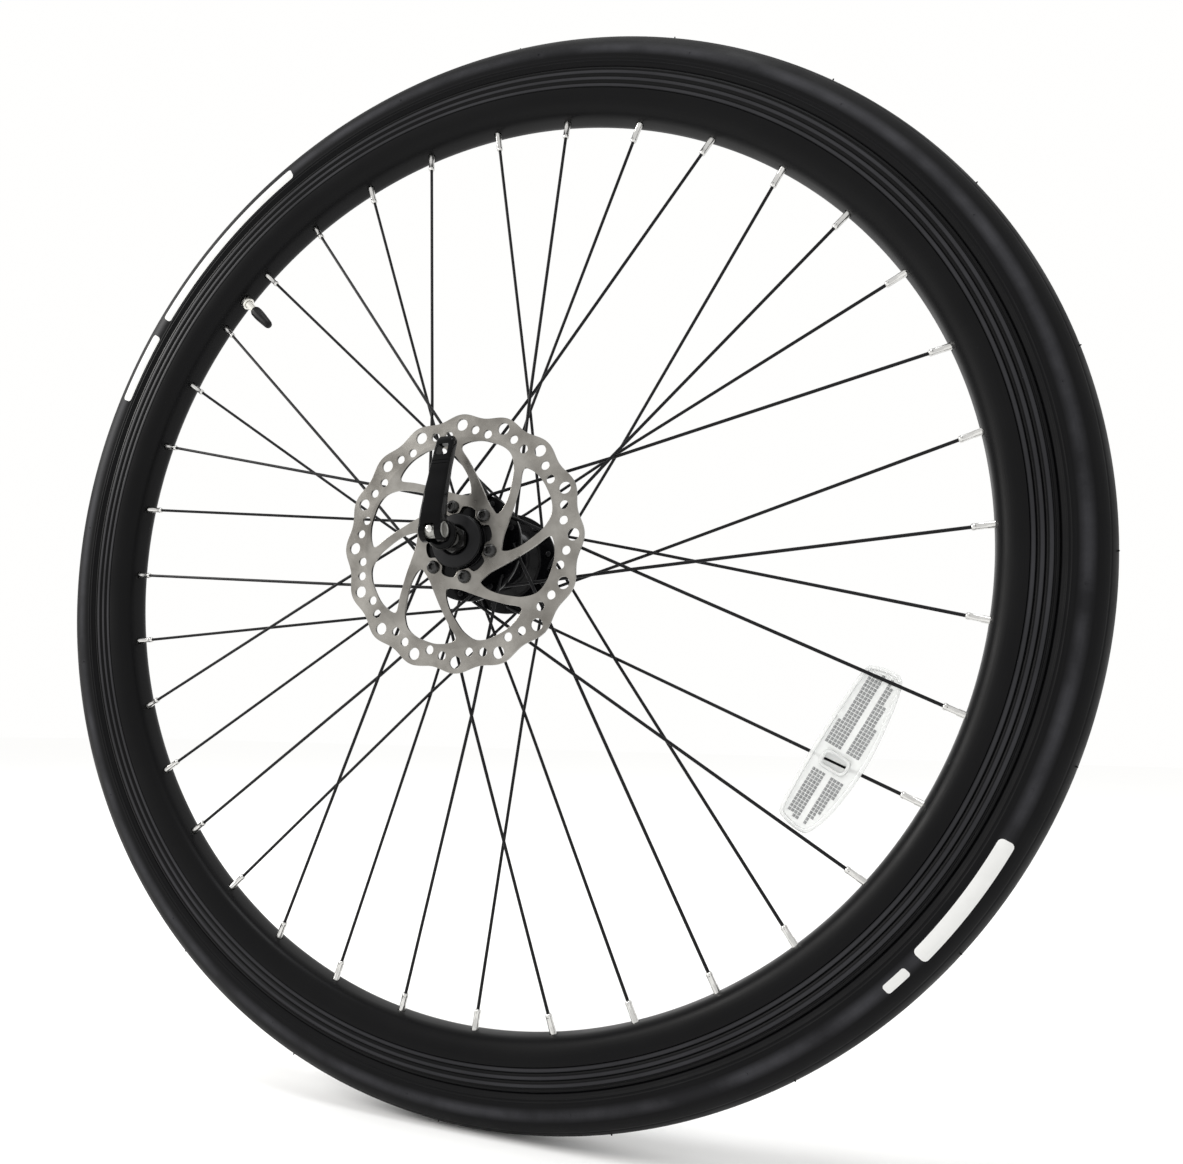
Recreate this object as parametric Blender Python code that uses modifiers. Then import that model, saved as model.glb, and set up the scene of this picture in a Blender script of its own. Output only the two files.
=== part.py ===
"""Bicycle front wheel for a disc brake, with quick-release skewer.

Frame: wheel centre at the origin, spin axis along Y, brake rotor and lever on the -Y side, +Z up.
All lengths are written in millimetres and scaled to metres by MM.
"""
import math

import bmesh
import bpy
from mathutils import Matrix, Vector

MM = 0.001
GAP = 0.3
MERGE = 0.00005

# ---- wheel ----
SEGMENTS = 72
TUBE_SEGMENTS = 36
SPOKE_COUNT = 36
SPOKE_R = 1.0
NIPPLE_R = 2.0
NIPPLE_HEAD_R = 2.9
NIPPLE_SEAT_R = 291.4
NIPPLE_HOLE_R = 2.95
NIPPLE_ACCESS_R = 4.4
VALVE_ANGLE = 135.0
STEP_LENGTH = 0.06

# ---- hub ----
FLANGE_Y = {"left": -24.0, "right": 36.0}
FLANGE_HALF = 1.4
FLANGE_R = 34.0
SPOKE_PITCH_R = 29.5
SPOKE_HOLE_R = 1.75
CROSS_ANGLE = 60.0
CROSS_FRACTION = 0.3092
BALL_Y = 40.6
BALL_PITCH_R = 9.2
BALL_R = 2.38
BALL_COUNT = 9

# ---- brake rotor ----
ROTOR_OUT = -41.3
ROTOR_IN = -39.5
ROTOR_LOBES = 16
ROTOR_PEAK_R = 79.2
ROTOR_WAVE = 1.45
ROTOR_ARMS = 8
BOLT_CIRCLE_R = 22.0
BOLT_ANGLE = 42.0
BOLT_COUNT = 6
BOLT_HOLE_R = 2.9

# ---- quick release ----
ROD_R = 2.5
ROD_END = 75.0
BORE_R = 2.9
AXLE_END = 54.0
SPRING_IN = 54.4
SPRING_OUT = 60.0
SPRING_TURNS = 3
SPRING_WIRE = 0.55
SPRING_R = (3.9, 7.9)
WASHER_IN = 60.4
WASHER_OUT = 66.2
NUT_END = 76.4
CAM_Y = -73.9
CAM_R = 6.6
CAM_OFFSET = 0.8
BARREL_R = 4.6
BARREL_HALF = 7.6
LEVER_HALF = 7.0

# ---- reflector ----
REFLECTOR_ANGLE = -31.0
REFLECTOR_SPOKE = 33

COLORS = {
    "rubber": ((0.035, 0.035, 0.037, 1.0), 0.75, 0.0),
    "black_alloy": ((0.02, 0.02, 0.022, 1.0), 0.35, 0.8),
    "steel": ((0.62, 0.62, 0.61, 1.0), 0.28, 1.0),
    "black_steel": ((0.03, 0.03, 0.032, 1.0), 0.4, 0.6),
    "butyl": ((0.06, 0.06, 0.065, 1.0), 0.6, 0.0),
    "nylon": ((0.75, 0.68, 0.5, 1.0), 0.6, 0.0),
    "black_plastic": ((0.025, 0.025, 0.027, 1.0), 0.5, 0.0),
    "clear_plastic": ((0.88, 0.89, 0.88, 1.0), 0.2, 0.0),
    "zinc": ((0.55, 0.55, 0.52, 1.0), 0.35, 0.9),
}


# ---------------------------------------------------------------- scene helpers
def clear_scene():
    for ob in list(bpy.data.objects):
        bpy.data.objects.remove(ob, do_unlink=True)


def new_collection(name):
    col = bpy.data.collections.new(name)
    bpy.context.scene.collection.children.link(col)
    return col


def paint(ob, color_key):
    """Gives the object its own material."""
    color, rough, metal = COLORS[color_key]
    mat = bpy.data.materials.new(ob.name)
    mat.use_nodes = True
    bsdf = mat.node_tree.nodes["Principled BSDF"]
    bsdf.inputs["Base Color"].default_value = color
    bsdf.inputs["Roughness"].default_value = rough
    bsdf.inputs["Metallic"].default_value = metal
    mat.diffuse_color = color
    ob.data.materials.append(mat)
    return ob


def add_object(name, data, collection, place=None):
    ob = bpy.data.objects.new(name, data)
    collection.objects.link(ob)
    if place is not None:
        ob.matrix_world = place
    return ob


def cut(ob, cutter, operation="DIFFERENCE"):
    """Adds a Boolean with the cutter, which is hidden."""
    cutter.hide_render = True
    cutter.display_type = "WIRE"
    mod = ob.modifiers.new(cutter.name, "BOOLEAN")
    mod.operation = operation
    mod.solver = "EXACT"
    mod.object = cutter


def join_with(ob, other):
    cut(ob, other, "UNION")


# ---------------------------------------------------------------- shape helpers
def polar(radius, degrees, y=0.0):
    a = math.radians(degrees)
    return Vector((radius * math.cos(a), y, radius * math.sin(a)))


def aimed(origin, direction):
    """Placement that puts local +Z along the direction and the local origin at the point."""
    turn = Vector(direction).to_track_quat("Z", "Y")
    return Matrix.Translation(Vector(origin) * MM) @ turn.to_matrix().to_4x4()


def axle_placement(phase):
    """Placement that puts local +Z along +Y, turned about the axle by phase degrees."""
    return Matrix.Rotation(math.radians(-phase), 4, "Y") @ Matrix.Rotation(math.radians(-90.0), 4, "X")


def turned(name, collection, profile, segments, place, closed=True):
    """Profile of (radius, height) turned about local Z. Its outer side runs from high to low."""
    mesh = bpy.data.meshes.new(name)
    verts = [(r * MM, 0.0, h * MM) for r, h in profile]
    count = len(verts)
    last = count if closed else count - 1
    mesh.from_pydata(verts, [(i, (i + 1) % count) for i in range(last)], [])
    ob = add_object(name, mesh, collection, place)
    mod = ob.modifiers.new("turn", "SCREW")
    mod.axis = "Z"
    mod.steps = segments
    mod.render_steps = segments
    mod.use_merge_vertices = True
    mod.merge_threshold = MERGE
    mod.use_smooth_shade = True
    return ob


def downward(profile):
    """The closed profile in the order that runs down its outer side."""
    area = 0.0
    for (r0, h0), (r1, h1) in zip(profile, profile[1:] + profile[:1]):
        area += r0 * h1 - r1 * h0
    return profile if area < 0.0 else list(reversed(profile))


def ring_on_axle(name, collection, profile, segments, phase=0.0):
    """Closed (radius, y) profile turned about the wheel's axle."""
    return turned(name, collection, downward(profile), segments, axle_placement(phase))


def mirrored(half):
    """Profile points (radius, y) for y > 0, completed with their mirror images."""
    other = [(r, -y) for r, y in reversed(half) if y != 0.0]
    return half + other


def drum(bm, centre, axis, radius, length, sides):
    """Cylinder added to the bmesh, from the centre of one end along the axis."""
    axis = Vector(axis).normalized()
    middle = Vector(centre) + axis * (length / 2)
    bmesh.ops.create_cone(
        bm, cap_ends=True, segments=sides, radius1=radius * MM, radius2=radius * MM, depth=length * MM,
        matrix=aimed(middle, axis))


def block(bm, place, size):
    """Box of the size added to the bmesh, centred in the placement."""
    scale = Matrix.Diagonal((size[0] * MM, size[1] * MM, size[2] * MM, 1.0))
    bmesh.ops.create_cube(bm, size=1.0, matrix=place @ scale)


def from_bmesh(name, bm, collection, place=None):
    mesh = bpy.data.meshes.new(name)
    bm.to_mesh(mesh)
    bm.free()
    return add_object(name, mesh, collection, place)


def made_mesh(curve_ob, collection):
    """Mesh object with the curve object's evaluated shape, caps welded; the curve is removed."""
    bpy.context.view_layer.update()
    evaluated = curve_ob.evaluated_get(bpy.context.evaluated_depsgraph_get())
    mesh = bpy.data.meshes.new_from_object(evaluated)
    bm = bmesh.new()
    bm.from_mesh(mesh)
    bmesh.ops.remove_doubles(bm, verts=bm.verts, dist=MERGE * 0.1)
    bmesh.ops.recalc_face_normals(bm, faces=bm.faces)
    bm.to_mesh(mesh)
    bm.free()
    name = curve_ob.name
    place = curve_ob.matrix_world.copy()
    bpy.data.objects.remove(curve_ob, do_unlink=True)
    mesh.name = name
    return add_object(name, mesh, collection, place)


def plate(name, collection, loops, y_mid, half):
    """Flat plate from closed loops of points in the wheel's plane; loops inside the first are holes."""
    curve = bpy.data.curves.new(name, "CURVE")
    curve.dimensions = "2D"
    curve.fill_mode = "BOTH"
    curve.extrude = half * MM
    for loop in loops:
        spline = curve.splines.new("POLY")
        spline.points.add(len(loop) - 1)
        for point, spot in zip(spline.points, loop):
            point.co = (spot.x * MM, spot.z * MM, 0.0, 1.0)
        spline.use_cyclic_u = True
    place = Matrix.Translation((0, y_mid * MM, 0)) @ Matrix.Rotation(math.radians(90.0), 4, "X")
    return made_mesh(add_object(name, curve, collection, place), collection)


def wire(name, collection, stations, resolution):
    """Round bar through stations of (point, radius)."""
    curve = bpy.data.curves.new(name, "CURVE")
    curve.dimensions = "3D"
    curve.bevel_depth = MM
    curve.bevel_resolution = resolution
    curve.use_fill_caps = True
    spline = curve.splines.new("POLY")
    spline.points.add(len(stations) - 1)
    for point, (spot, radius) in zip(spline.points, stations):
        point.co = (*(spot * MM), 1.0)
        point.radius = radius
    return made_mesh(add_object(name, curve, collection), collection)


def circle(centre, radius, sides):
    """Points round a circle in the wheel's plane."""
    return [Vector(centre) + polar(radius, 360.0 * k / sides) for k in range(sides)]


# ---------------------------------------------------------------- rim and tyre
def build_rim(col, cutters):
    half = [
        (290.3, 4.6), (292.6, 9.6), (299.6, 13.3), (313.0, 16.0), (317.7, 15.3),
        (317.7, 13.2), (311.2, 13.2), (311.0, 10.4), (306.0, 7.4),
    ]
    rim = ring_on_axle("rim", col, mirrored(half), SEGMENTS, 2.5)
    half_cavity = [(292.6, 4.2), (299.6, 11.2), (309.2, 12.2), (304.0, 7.0)]
    cut(rim, ring_on_axle("rim_cavity_cut", cutters, mirrored(half_cavity), SEGMENTS, 2.5))
    bm = bmesh.new()
    for k in range(SPOKE_COUNT):
        axis = polar(1.0, 10.0 * k)
        drum(bm, axis * 286.0, axis, NIPPLE_HOLE_R, 10.0, 5)
        drum(bm, axis * 300.0, axis, NIPPLE_ACCESS_R, 10.0, 5)
    axis = polar(1.0, VALVE_ANGLE)
    drum(bm, axis * 286.0, axis, 3.6, 24.0, 8)
    cut(rim, from_bmesh("rim_holes_cut", bm, cutters))
    return paint(rim, "black_alloy")


def build_tyre(col):
    half = [
        (345.1, 0.0), (341.4, 10.6), (332.5, 17.2), (321.0, 17.2), (318.2, 12.8),
        (311.6, 12.8), (311.6, 10.0), (321.0, 12.6), (332.5, 14.6), (342.3, 0.0),
    ]
    loop = half + [(r, -y) for r, y in reversed(half[1:-1])]
    return paint(ring_on_axle("tyre", col, loop, SEGMENTS, 2.5), "rubber")


def tube_loop(side):
    """Closed loop from the points of one side; the last of them is on the middle plane."""
    return side + [(r, -y) for r, y in reversed(side[:-1])]


def build_inner_tube(col, cutters):
    outer = [(309.3, 5.2), (319.5, 9.6), (329.0, 13.6), (340.6, 0.0)]
    inner = [(310.6, 4.2), (320.0, 8.2), (329.0, 11.6), (338.6, 0.0)]
    tube = ring_on_axle("inner_tube", col, tube_loop(outer), TUBE_SEGMENTS, 5.0)
    cut(tube, ring_on_axle("inner_tube_air_cut", cutters, tube_loop(inner), TUBE_SEGMENTS, 5.0))
    bm = bmesh.new()
    axis = polar(1.0, VALVE_ANGLE)
    drum(bm, axis * 304.0, axis, 3.4, 12.0, 8)
    cut(tube, from_bmesh("inner_tube_valve_cut", bm, cutters))
    return paint(tube, "butyl")


def build_rim_tape(col, cutters):
    profile = [(307.3, -7.0), (307.9, -7.0), (307.9, 7.0), (307.3, 7.0)]
    tape = ring_on_axle("rim_tape", col, profile, TUBE_SEGMENTS, 5.0)
    bm = bmesh.new()
    axis = polar(1.0, VALVE_ANGLE)
    drum(bm, axis * 303.0, axis, 3.7, 8.0, 8)
    cut(tape, from_bmesh("rim_tape_valve_cut", bm, cutters))
    return paint(tape, "nylon")


# ---------------------------------------------------------------- spokes
def spoke_path(index):
    """Centreline and radii of the spoke that ends at rim angle 10 * index degrees."""
    side = "left" if index % 2 == 0 else "right"
    out = -1.0 if side == "left" else 1.0
    elbow_inside = index % 4 < 2
    facing = -1.0 if elbow_inside else 1.0
    rim_angle = 10.0 * index
    hub_angle = rim_angle - CROSS_ANGLE if elbow_inside else rim_angle + CROSS_ANGLE
    flange_y = FLANGE_Y[side]

    hole = polar(SPOKE_PITCH_R, hub_angle)
    seat = polar(NIPPLE_SEAT_R, rim_angle)
    crossing = hole.lerp(seat, CROSS_FRACTION)
    crossing.y = flange_y * (1.0 - CROSS_FRACTION) - facing * out * 0.65
    elbow = Vector((hole.x, flange_y + facing * out * 2.8, hole.z))
    level = Vector((crossing.x - elbow.x, 0, crossing.z - elbow.z)).normalized()
    head_in = Vector((hole.x, flange_y - facing * out * 1.75, hole.z))
    head_out = Vector((hole.x, flange_y - facing * out * 2.65, hole.z))
    towards_elbow = (elbow - head_in).normalized()
    run = (seat - crossing).normalized()
    nipple_start = seat - run * 12.6
    head_start = seat + run * 1.75
    stations = [
        (head_out, 1.85), (head_in, 1.85), (head_in + towards_elbow * STEP_LENGTH, SPOKE_R), (elbow, SPOKE_R),
        (crossing, SPOKE_R), (nipple_start, SPOKE_R), (nipple_start + run * STEP_LENGTH, NIPPLE_R),
        (head_start, NIPPLE_R), (head_start + run * STEP_LENGTH, NIPPLE_HEAD_R),
        (seat + run * 4.2, NIPPLE_HEAD_R),
    ]
    if not elbow_inside:
        stations.insert(4, (elbow + level * 11.0, SPOKE_R))
    return stations, crossing, nipple_start


def build_spokes(col, cutters):
    number = 1
    for index in range(SPOKE_COUNT):
        if index % 4 > 1:
            continue
        partner = (index - 2) % SPOKE_COUNT
        stations, crossing, nipple_start = spoke_path(index)
        spoke = wire("spoke_pair_%02d" % number, col, stations, 1)
        stations, crossing, nipple_start = spoke_path(partner)
        join_with(spoke, wire("spoke_partner_%02d" % number, cutters, stations, 1))
        paint(spoke, "black_steel")
        number += 1


# ---------------------------------------------------------------- hub
def build_hub(col, cutters):
    left = FLANGE_Y["left"]
    right = FLANGE_Y["right"]
    profile = [
        (16.6, -44.6), (16.6, -39.2), (27.0, -39.2), (27.0, -35.0), (17.5, -33.0),
        (17.5, left - FLANGE_HALF), (FLANGE_R, left - FLANGE_HALF), (FLANGE_R, left + FLANGE_HALF),
        (14.5, left + FLANGE_HALF), (14.5, right - FLANGE_HALF), (FLANGE_R, right - FLANGE_HALF),
        (FLANGE_R, right + FLANGE_HALF), (16.6, right + FLANGE_HALF), (16.6, 44.6),
        (11.9, 44.6), (11.9, 37.8), (7.5, 37.2), (7.5, -37.2), (11.9, -37.8), (11.9, -44.6),
    ]
    hub = ring_on_axle("hub_shell", col, profile, 36)
    bm = bmesh.new()
    axle = (0, 1, 0)
    for index in range(SPOKE_COUNT):
        side = "left" if index % 2 == 0 else "right"
        drum(bm, polar(SPOKE_PITCH_R, 10.0 * index, FLANGE_Y[side] - 2.2), axle, SPOKE_HOLE_R, 4.4, 5)
    for k in range(BOLT_COUNT):
        drum(bm, polar(BOLT_CIRCLE_R, BOLT_ANGLE + 60.0 * k, -40.0), axle, BOLT_HOLE_R, 8.0, 8)
    cut(hub, from_bmesh("hub_holes_cut", bm, cutters))
    return paint(hub, "black_alloy")


def build_axle_group(col):
    end = AXLE_END
    axle = ring_on_axle("axle", col, [(4.5, -end), (4.5, end), (2.8, end), (2.8, -end)], 24)
    paint(axle, "steel")
    for side, out in (("left", -1.0), ("right", 1.0)):
        cone = [(4.8, out * 37.6), (5.2, out * 37.6), (6.3, out * BALL_Y), (6.5, out * 45.7), (4.8, out * 45.7)]
        paint(ring_on_axle(side + "_cone", col, cone, 24), "steel")
        nut = [(4.8, out * 46.0), (8.5, out * 46.0), (8.5, out * 50.0), (4.8, out * 50.0)]
        paint(ring_on_axle(side + "_locknut", col, nut, 24), "black_steel")
        cap = [
            (6.9, out * 43.6), (11.5, out * 43.6), (11.5, out * 44.9), (16.2, out * 44.9), (9.6, out * 47.4),
            (8.9, out * 45.4),
        ]
        paint(ring_on_axle(side + "_dust_cap", col, cap, 24), "black_plastic")


def build_ball_ring(col, cutters, side, out):
    y = out * BALL_Y
    inner = BALL_PITCH_R - 0.8
    outer = BALL_PITCH_R + 0.8
    cage = [(inner, y - 0.5), (outer, y - 0.5), (outer, y + 0.5), (inner, y + 0.5)]
    ring = ring_on_axle(side + "_ball_ring", col, cage, 18, 10.0)
    bm = bmesh.new()
    for k in range(BALL_COUNT):
        centre = Matrix.Translation(polar(BALL_PITCH_R, 360.0 * k / BALL_COUNT, y) * MM)
        bmesh.ops.create_uvsphere(bm, u_segments=6, v_segments=4, radius=BALL_R * MM, matrix=centre)
    join_with(ring, from_bmesh(side + "_balls_join", bm, cutters))
    return paint(ring, "steel")


# ---------------------------------------------------------------- brake rotor
def rotor_edge():
    """Wavy outer edge."""
    steps = ROTOR_LOBES * 5
    loop = []
    for k in range(steps):
        a = 360.0 * k / steps
        wave = ROTOR_WAVE * math.cos(math.radians(a * ROTOR_LOBES))
        loop.append(polar(ROTOR_PEAK_R - ROTOR_WAVE + wave, a))
    return loop


def rotor_bore():
    """Centre opening, scalloped between the bolts."""
    loop = []
    for k in range(36):
        a = 10.0 * k
        off = abs((a - 12.0 + 30.0) % 60.0 - 30.0)
        r = 22.0 if off < 4.0 else (21.0 if off < 14.0 else 17.4)
        loop.append(polar(r, a))
    return loop


def build_rotor(col):
    window = [
        (29.3, -0.5), (34.3, 1.0), (41.0, 6.5), (48.8, 13.5), (55.0, 18.5), (60.6, 25.0), (62.6, 32.0),
        (62.8, 40.0), (62.6, 47.0), (61.0, 54.5), (58.0, 58.0), (50.0, 52.0), (40.6, 42.0), (34.0, 31.0),
        (29.6, 18.0), (28.6, 8.0),
    ]
    loops = [rotor_edge(), rotor_bore()]
    for k in range(ROTOR_ARMS):
        loops.append([polar(r, 302.0 + a + 360.0 * k / ROTOR_ARMS) for r, a in window])
    for k in range(ROTOR_LOBES):
        base = 360.0 * k / ROTOR_LOBES
        loops.append(circle(polar(72.6, base), 3.7, 7))
        loops.append(circle(polar(67.1, base + 7.5), 2.7, 5))
        loops.append(circle(polar(69.0, base + 15.0), 2.7, 5))
    for k in range(BOLT_COUNT):
        loops.append(circle(polar(BOLT_CIRCLE_R, BOLT_ANGLE + 60.0 * k), BOLT_HOLE_R, 8))
    rotor = plate("brake_rotor", col, loops, (ROTOR_OUT + ROTOR_IN) / 2, (ROTOR_IN - ROTOR_OUT) / 2)
    return paint(rotor, "steel")


def build_rotor_bolts(col):
    profile = [(0.0, 44.1), (2.9, 44.1), (4.0, 43.7), (4.0, 41.6), (2.45, 41.6), (2.45, 35.2), (0.0, 35.2)]
    for k in range(BOLT_COUNT):
        place = aimed(polar(BOLT_CIRCLE_R, BOLT_ANGLE + 60.0 * k), (0, -1, 0))
        paint(turned("rotor_bolt_%d" % (k + 1), col, profile, 10, place, closed=False), "black_steel")


# ---------------------------------------------------------------- quick release
def build_spring(col, side, out):
    """Conical coil spring with its narrow end against the axle."""
    steps = SPRING_TURNS * 10
    low = SPRING_IN + SPRING_WIRE
    high = SPRING_OUT - SPRING_WIRE
    stations = []
    for k in range(steps + 1):
        t = k / steps
        a = out * 360.0 * SPRING_TURNS * t
        r = SPRING_R[0] + (SPRING_R[1] - SPRING_R[0]) * t
        stations.append((polar(r, a, out * (low + (high - low) * t)), SPRING_WIRE))
    paint(wire(side + "_spring", col, stations, 0), "steel")


def build_skewer(col, cutters):
    start = CAM_Y + BARREL_R + GAP
    rod = [(0.0, ROD_END), (ROD_R, ROD_END), (ROD_R, start), (0.0, start)]
    paint(turned("skewer_rod", col, rod, 12, axle_placement(0.0), closed=False), "steel")
    washer = [
        (BORE_R, -WASHER_IN), (8.6, -WASHER_IN), (9.2, -WASHER_IN - 1.0), (9.2, -WASHER_OUT + 2.2),
        (7.6, -WASHER_OUT), (BORE_R, -WASHER_OUT),
    ]
    paint(ring_on_axle("lever_washer", col, washer, 24), "black_alloy")
    barrel = [(0.0, BARREL_HALF), (BARREL_R, BARREL_HALF), (BARREL_R, -BARREL_HALF), (0.0, -BARREL_HALF)]
    paint(turned("cam_barrel", col, barrel, 20, aimed((0, CAM_Y, 0), (1, 0, 0)), closed=False), "steel")
    nut_profile = [
        (BORE_R, WASHER_IN), (8.6, WASHER_IN), (9.2, WASHER_IN + 1.0), (9.2, 64.4), (7.4, 66.0),
        (7.0, 74.0), (5.4, NUT_END), (BORE_R, NUT_END),
    ]
    nut = ring_on_axle("adjusting_nut", col, nut_profile, 24)
    for which, a in (("front", 0.0), ("rear", 180.0)):
        loop = [polar(5.6, a - 26.0), polar(5.6, a + 26.0), polar(13.6, a + 9.0), polar(13.6, a - 9.0)]
        join_with(nut, plate("adjusting_nut_%s_wing_join" % which, cutters, [loop], 70.2, 3.2))
    paint(nut, "black_alloy")
    build_spring(col, "left", -1.0)
    build_spring(col, "right", 1.0)


def lever_blade(cutters):
    """Blade of the lever, lofted through sections that change their height, width and thickness."""
    sections = [
        (2.0, -79.4, -69.4, 6.9), (8.0, -79.4, -70.6, 6.8), (20.0, -76.0, -69.4, 6.6), (36.0, -70.6, -64.4, 6.2),
        (48.0, -66.6, -60.2, 5.8), (56.0, -63.6, -57.4, 5.6), (59.0, -62.0, -57.8, 5.0),
    ]
    bevel = 1.4
    bm = bmesh.new()
    rings = []
    for z, y_out, y_in, half in sections:
        loop = [
            (-half + bevel, y_out), (half - bevel, y_out), (half, y_out + bevel), (half, y_in),
            (-half, y_in), (-half, y_out + bevel),
        ]
        rings.append([bm.verts.new(Vector((x, y, z)) * MM) for x, y in loop])
    for low, high in zip(rings, rings[1:]):
        for k in range(len(low)):
            k2 = (k + 1) % len(low)
            bm.faces.new((low[k], low[k2], high[k2], high[k]))
    bm.faces.new(list(reversed(rings[0])))
    bm.faces.new(rings[-1])
    bmesh.ops.recalc_face_normals(bm, faces=bm.faces)
    return from_bmesh("qr_lever_blade_join", bm, cutters)


def build_lever(col, cutters):
    """Lever turned about the cam barrel's axis; its round head sits off that axis."""
    bm = bmesh.new()
    drum(bm, (-LEVER_HALF, CAM_OFFSET, 0), (1, 0, 0), CAM_R, 2 * LEVER_HALF, 24)
    lever = from_bmesh("qr_lever", bm, col, Matrix.Translation((0, CAM_Y * MM, 0)))
    join_with(lever, lever_blade(cutters))
    bm = bmesh.new()
    drum(bm, (-12.0, CAM_Y, 0), (1, 0, 0), BARREL_R + GAP, 24.0, 20)
    cut(lever, from_bmesh("qr_lever_barrel_cut", bm, cutters))
    bm = bmesh.new()
    block(bm, Matrix.Translation((0, CAM_Y * MM, -4.5 * MM)), (6.4, 24.0, 15.0))
    cut(lever, from_bmesh("qr_lever_slot_cut", bm, cutters))
    bm = bmesh.new()
    block(bm, Matrix.Translation((0, -60.0 * MM, 50.25 * MM)), (6.8, 40.0, 6.5))
    cut(lever, from_bmesh("qr_lever_tip_cut", bm, cutters))
    return paint(lever, "black_alloy")


# ---------------------------------------------------------------- valve
def build_valve(col):
    """Valve pieces turned about the radial line of the valve; heights are distances from the axle."""
    place = aimed((0, 0, 0), polar(1.0, VALVE_ANGLE))
    stem = [(1.5, 308.9), (3.1, 308.9), (3.1, 308.0), (2.7, 308.0), (2.7, 266.0), (1.5, 266.0)]
    paint(turned("valve_stem", col, stem, 12, place), "zinc")
    ring = [(3.05, 289.9), (4.2, 289.9), (4.6, 289.4), (4.6, 286.4), (3.8, 285.8), (3.05, 285.8)]
    paint(turned("valve_ring", col, ring, 16, place), "zinc")
    pin = [(0.0, 300.0), (0.8, 300.0), (0.8, 264.8), (1.3, 264.8), (1.3, 262.6), (0.0, 262.6)]
    paint(turned("valve_pin", col, pin, 8, place, closed=False), "zinc")
    cap = [
        (0.0, 259.6), (2.0, 259.6), (2.0, 265.0), (3.1, 265.2), (3.1, 277.6), (3.9, 277.6),
        (4.0, 273.0), (3.1, 258.8), (2.4, 257.6), (0.0, 257.6),
    ]
    paint(turned("valve_cap", col, cap, 12, place, closed=False), "black_plastic")


# ---------------------------------------------------------------- reflector
def build_reflector(col, cutters):
    radial = polar(1.0, REFLECTOR_ANGLE)
    along = polar(1.0, REFLECTOR_ANGLE + 90.0)
    outline = [
        (-40, 236), (-36, 231.5), (-20, 230), (8, 229.4), (36, 230), (52, 231.5), (56, 236),
        (57.5, 246), (54, 251.4), (38, 255), (8, 258), (-22, 256), (-38, 251.4), (-41.5, 246),
    ]
    slot = [(-3.0, 237.5), (3.0, 237.5), (4.2, 243.5), (3.0, 249.5), (-3.0, 249.5), (-4.2, 243.5)]
    loops = [[radial * r + along * t for t, r in loop] for loop in (outline, slot)]
    paint(plate("reflector", col, loops, 0.65, 2.25), "clear_plastic")

    turn = Matrix.Rotation(math.radians(-REFLECTOR_ANGLE), 4, "Y")
    bm = bmesh.new()
    block(bm, turn @ Matrix.Translation(Vector((243.5, 6.3, 0)) * MM), (15.0, 6.2, 13.0))
    clip = from_bmesh("reflector_clip", bm, col)
    stations, start, end = spoke_path(REFLECTOR_SPOKE)
    run = (end - start).normalized()
    length = (end - start).length
    bm = bmesh.new()
    drum(bm, start, run, 1.5, length, 8)
    cut(clip, from_bmesh("reflector_clip_channel_cut", bm, cutters))
    across = run.cross(Vector((0, 1, 0))).normalized()
    into = run.cross(across).normalized()
    frame = Matrix((across, into, run)).transposed().to_4x4()
    middle = Matrix.Translation((start.lerp(end, 0.5) - Vector((0, 10.0, 0))) * MM)
    bm = bmesh.new()
    block(bm, middle @ frame, (1.4, 20.0, length))
    cut(clip, from_bmesh("reflector_clip_mouth_cut", bm, cutters))
    paint(clip, "clear_plastic")


def main():
    clear_scene()
    model = new_collection("wheel")
    cutters = new_collection("cutters")
    build_rim(model, cutters)
    build_tyre(model)
    build_inner_tube(model, cutters)
    build_rim_tape(model, cutters)
    build_spokes(model, cutters)
    build_hub(model, cutters)
    build_axle_group(model)
    build_ball_ring(model, cutters, "left", -1.0)
    build_ball_ring(model, cutters, "right", 1.0)
    build_rotor(model)
    build_rotor_bolts(model)
    build_skewer(model, cutters)
    build_lever(model, cutters)
    build_valve(model)
    build_reflector(model, cutters)


main()
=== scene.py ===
import math

import bmesh
import bpy
from mathutils import Matrix, Vector


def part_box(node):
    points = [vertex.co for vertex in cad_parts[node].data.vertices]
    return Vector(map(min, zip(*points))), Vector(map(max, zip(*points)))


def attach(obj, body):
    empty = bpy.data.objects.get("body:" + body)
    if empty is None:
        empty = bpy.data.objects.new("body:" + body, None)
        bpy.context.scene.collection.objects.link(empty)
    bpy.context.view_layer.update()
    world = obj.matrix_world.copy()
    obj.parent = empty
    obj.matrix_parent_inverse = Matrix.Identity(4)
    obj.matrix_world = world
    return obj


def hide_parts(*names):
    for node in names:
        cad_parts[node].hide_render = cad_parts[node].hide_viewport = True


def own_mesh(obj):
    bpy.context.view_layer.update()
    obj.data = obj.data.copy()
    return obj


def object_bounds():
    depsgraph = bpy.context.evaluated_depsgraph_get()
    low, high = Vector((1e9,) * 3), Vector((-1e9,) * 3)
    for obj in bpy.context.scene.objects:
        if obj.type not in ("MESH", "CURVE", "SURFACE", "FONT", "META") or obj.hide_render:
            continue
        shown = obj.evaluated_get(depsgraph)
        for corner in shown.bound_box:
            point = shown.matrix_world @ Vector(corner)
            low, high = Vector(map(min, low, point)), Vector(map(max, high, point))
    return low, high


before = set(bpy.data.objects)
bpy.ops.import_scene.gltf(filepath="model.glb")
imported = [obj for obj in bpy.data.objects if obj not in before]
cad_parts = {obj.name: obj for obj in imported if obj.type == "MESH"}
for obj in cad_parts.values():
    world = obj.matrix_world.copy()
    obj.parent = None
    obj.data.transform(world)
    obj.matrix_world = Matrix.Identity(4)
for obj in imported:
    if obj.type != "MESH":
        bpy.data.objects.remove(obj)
cad_low, cad_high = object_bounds()

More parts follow.
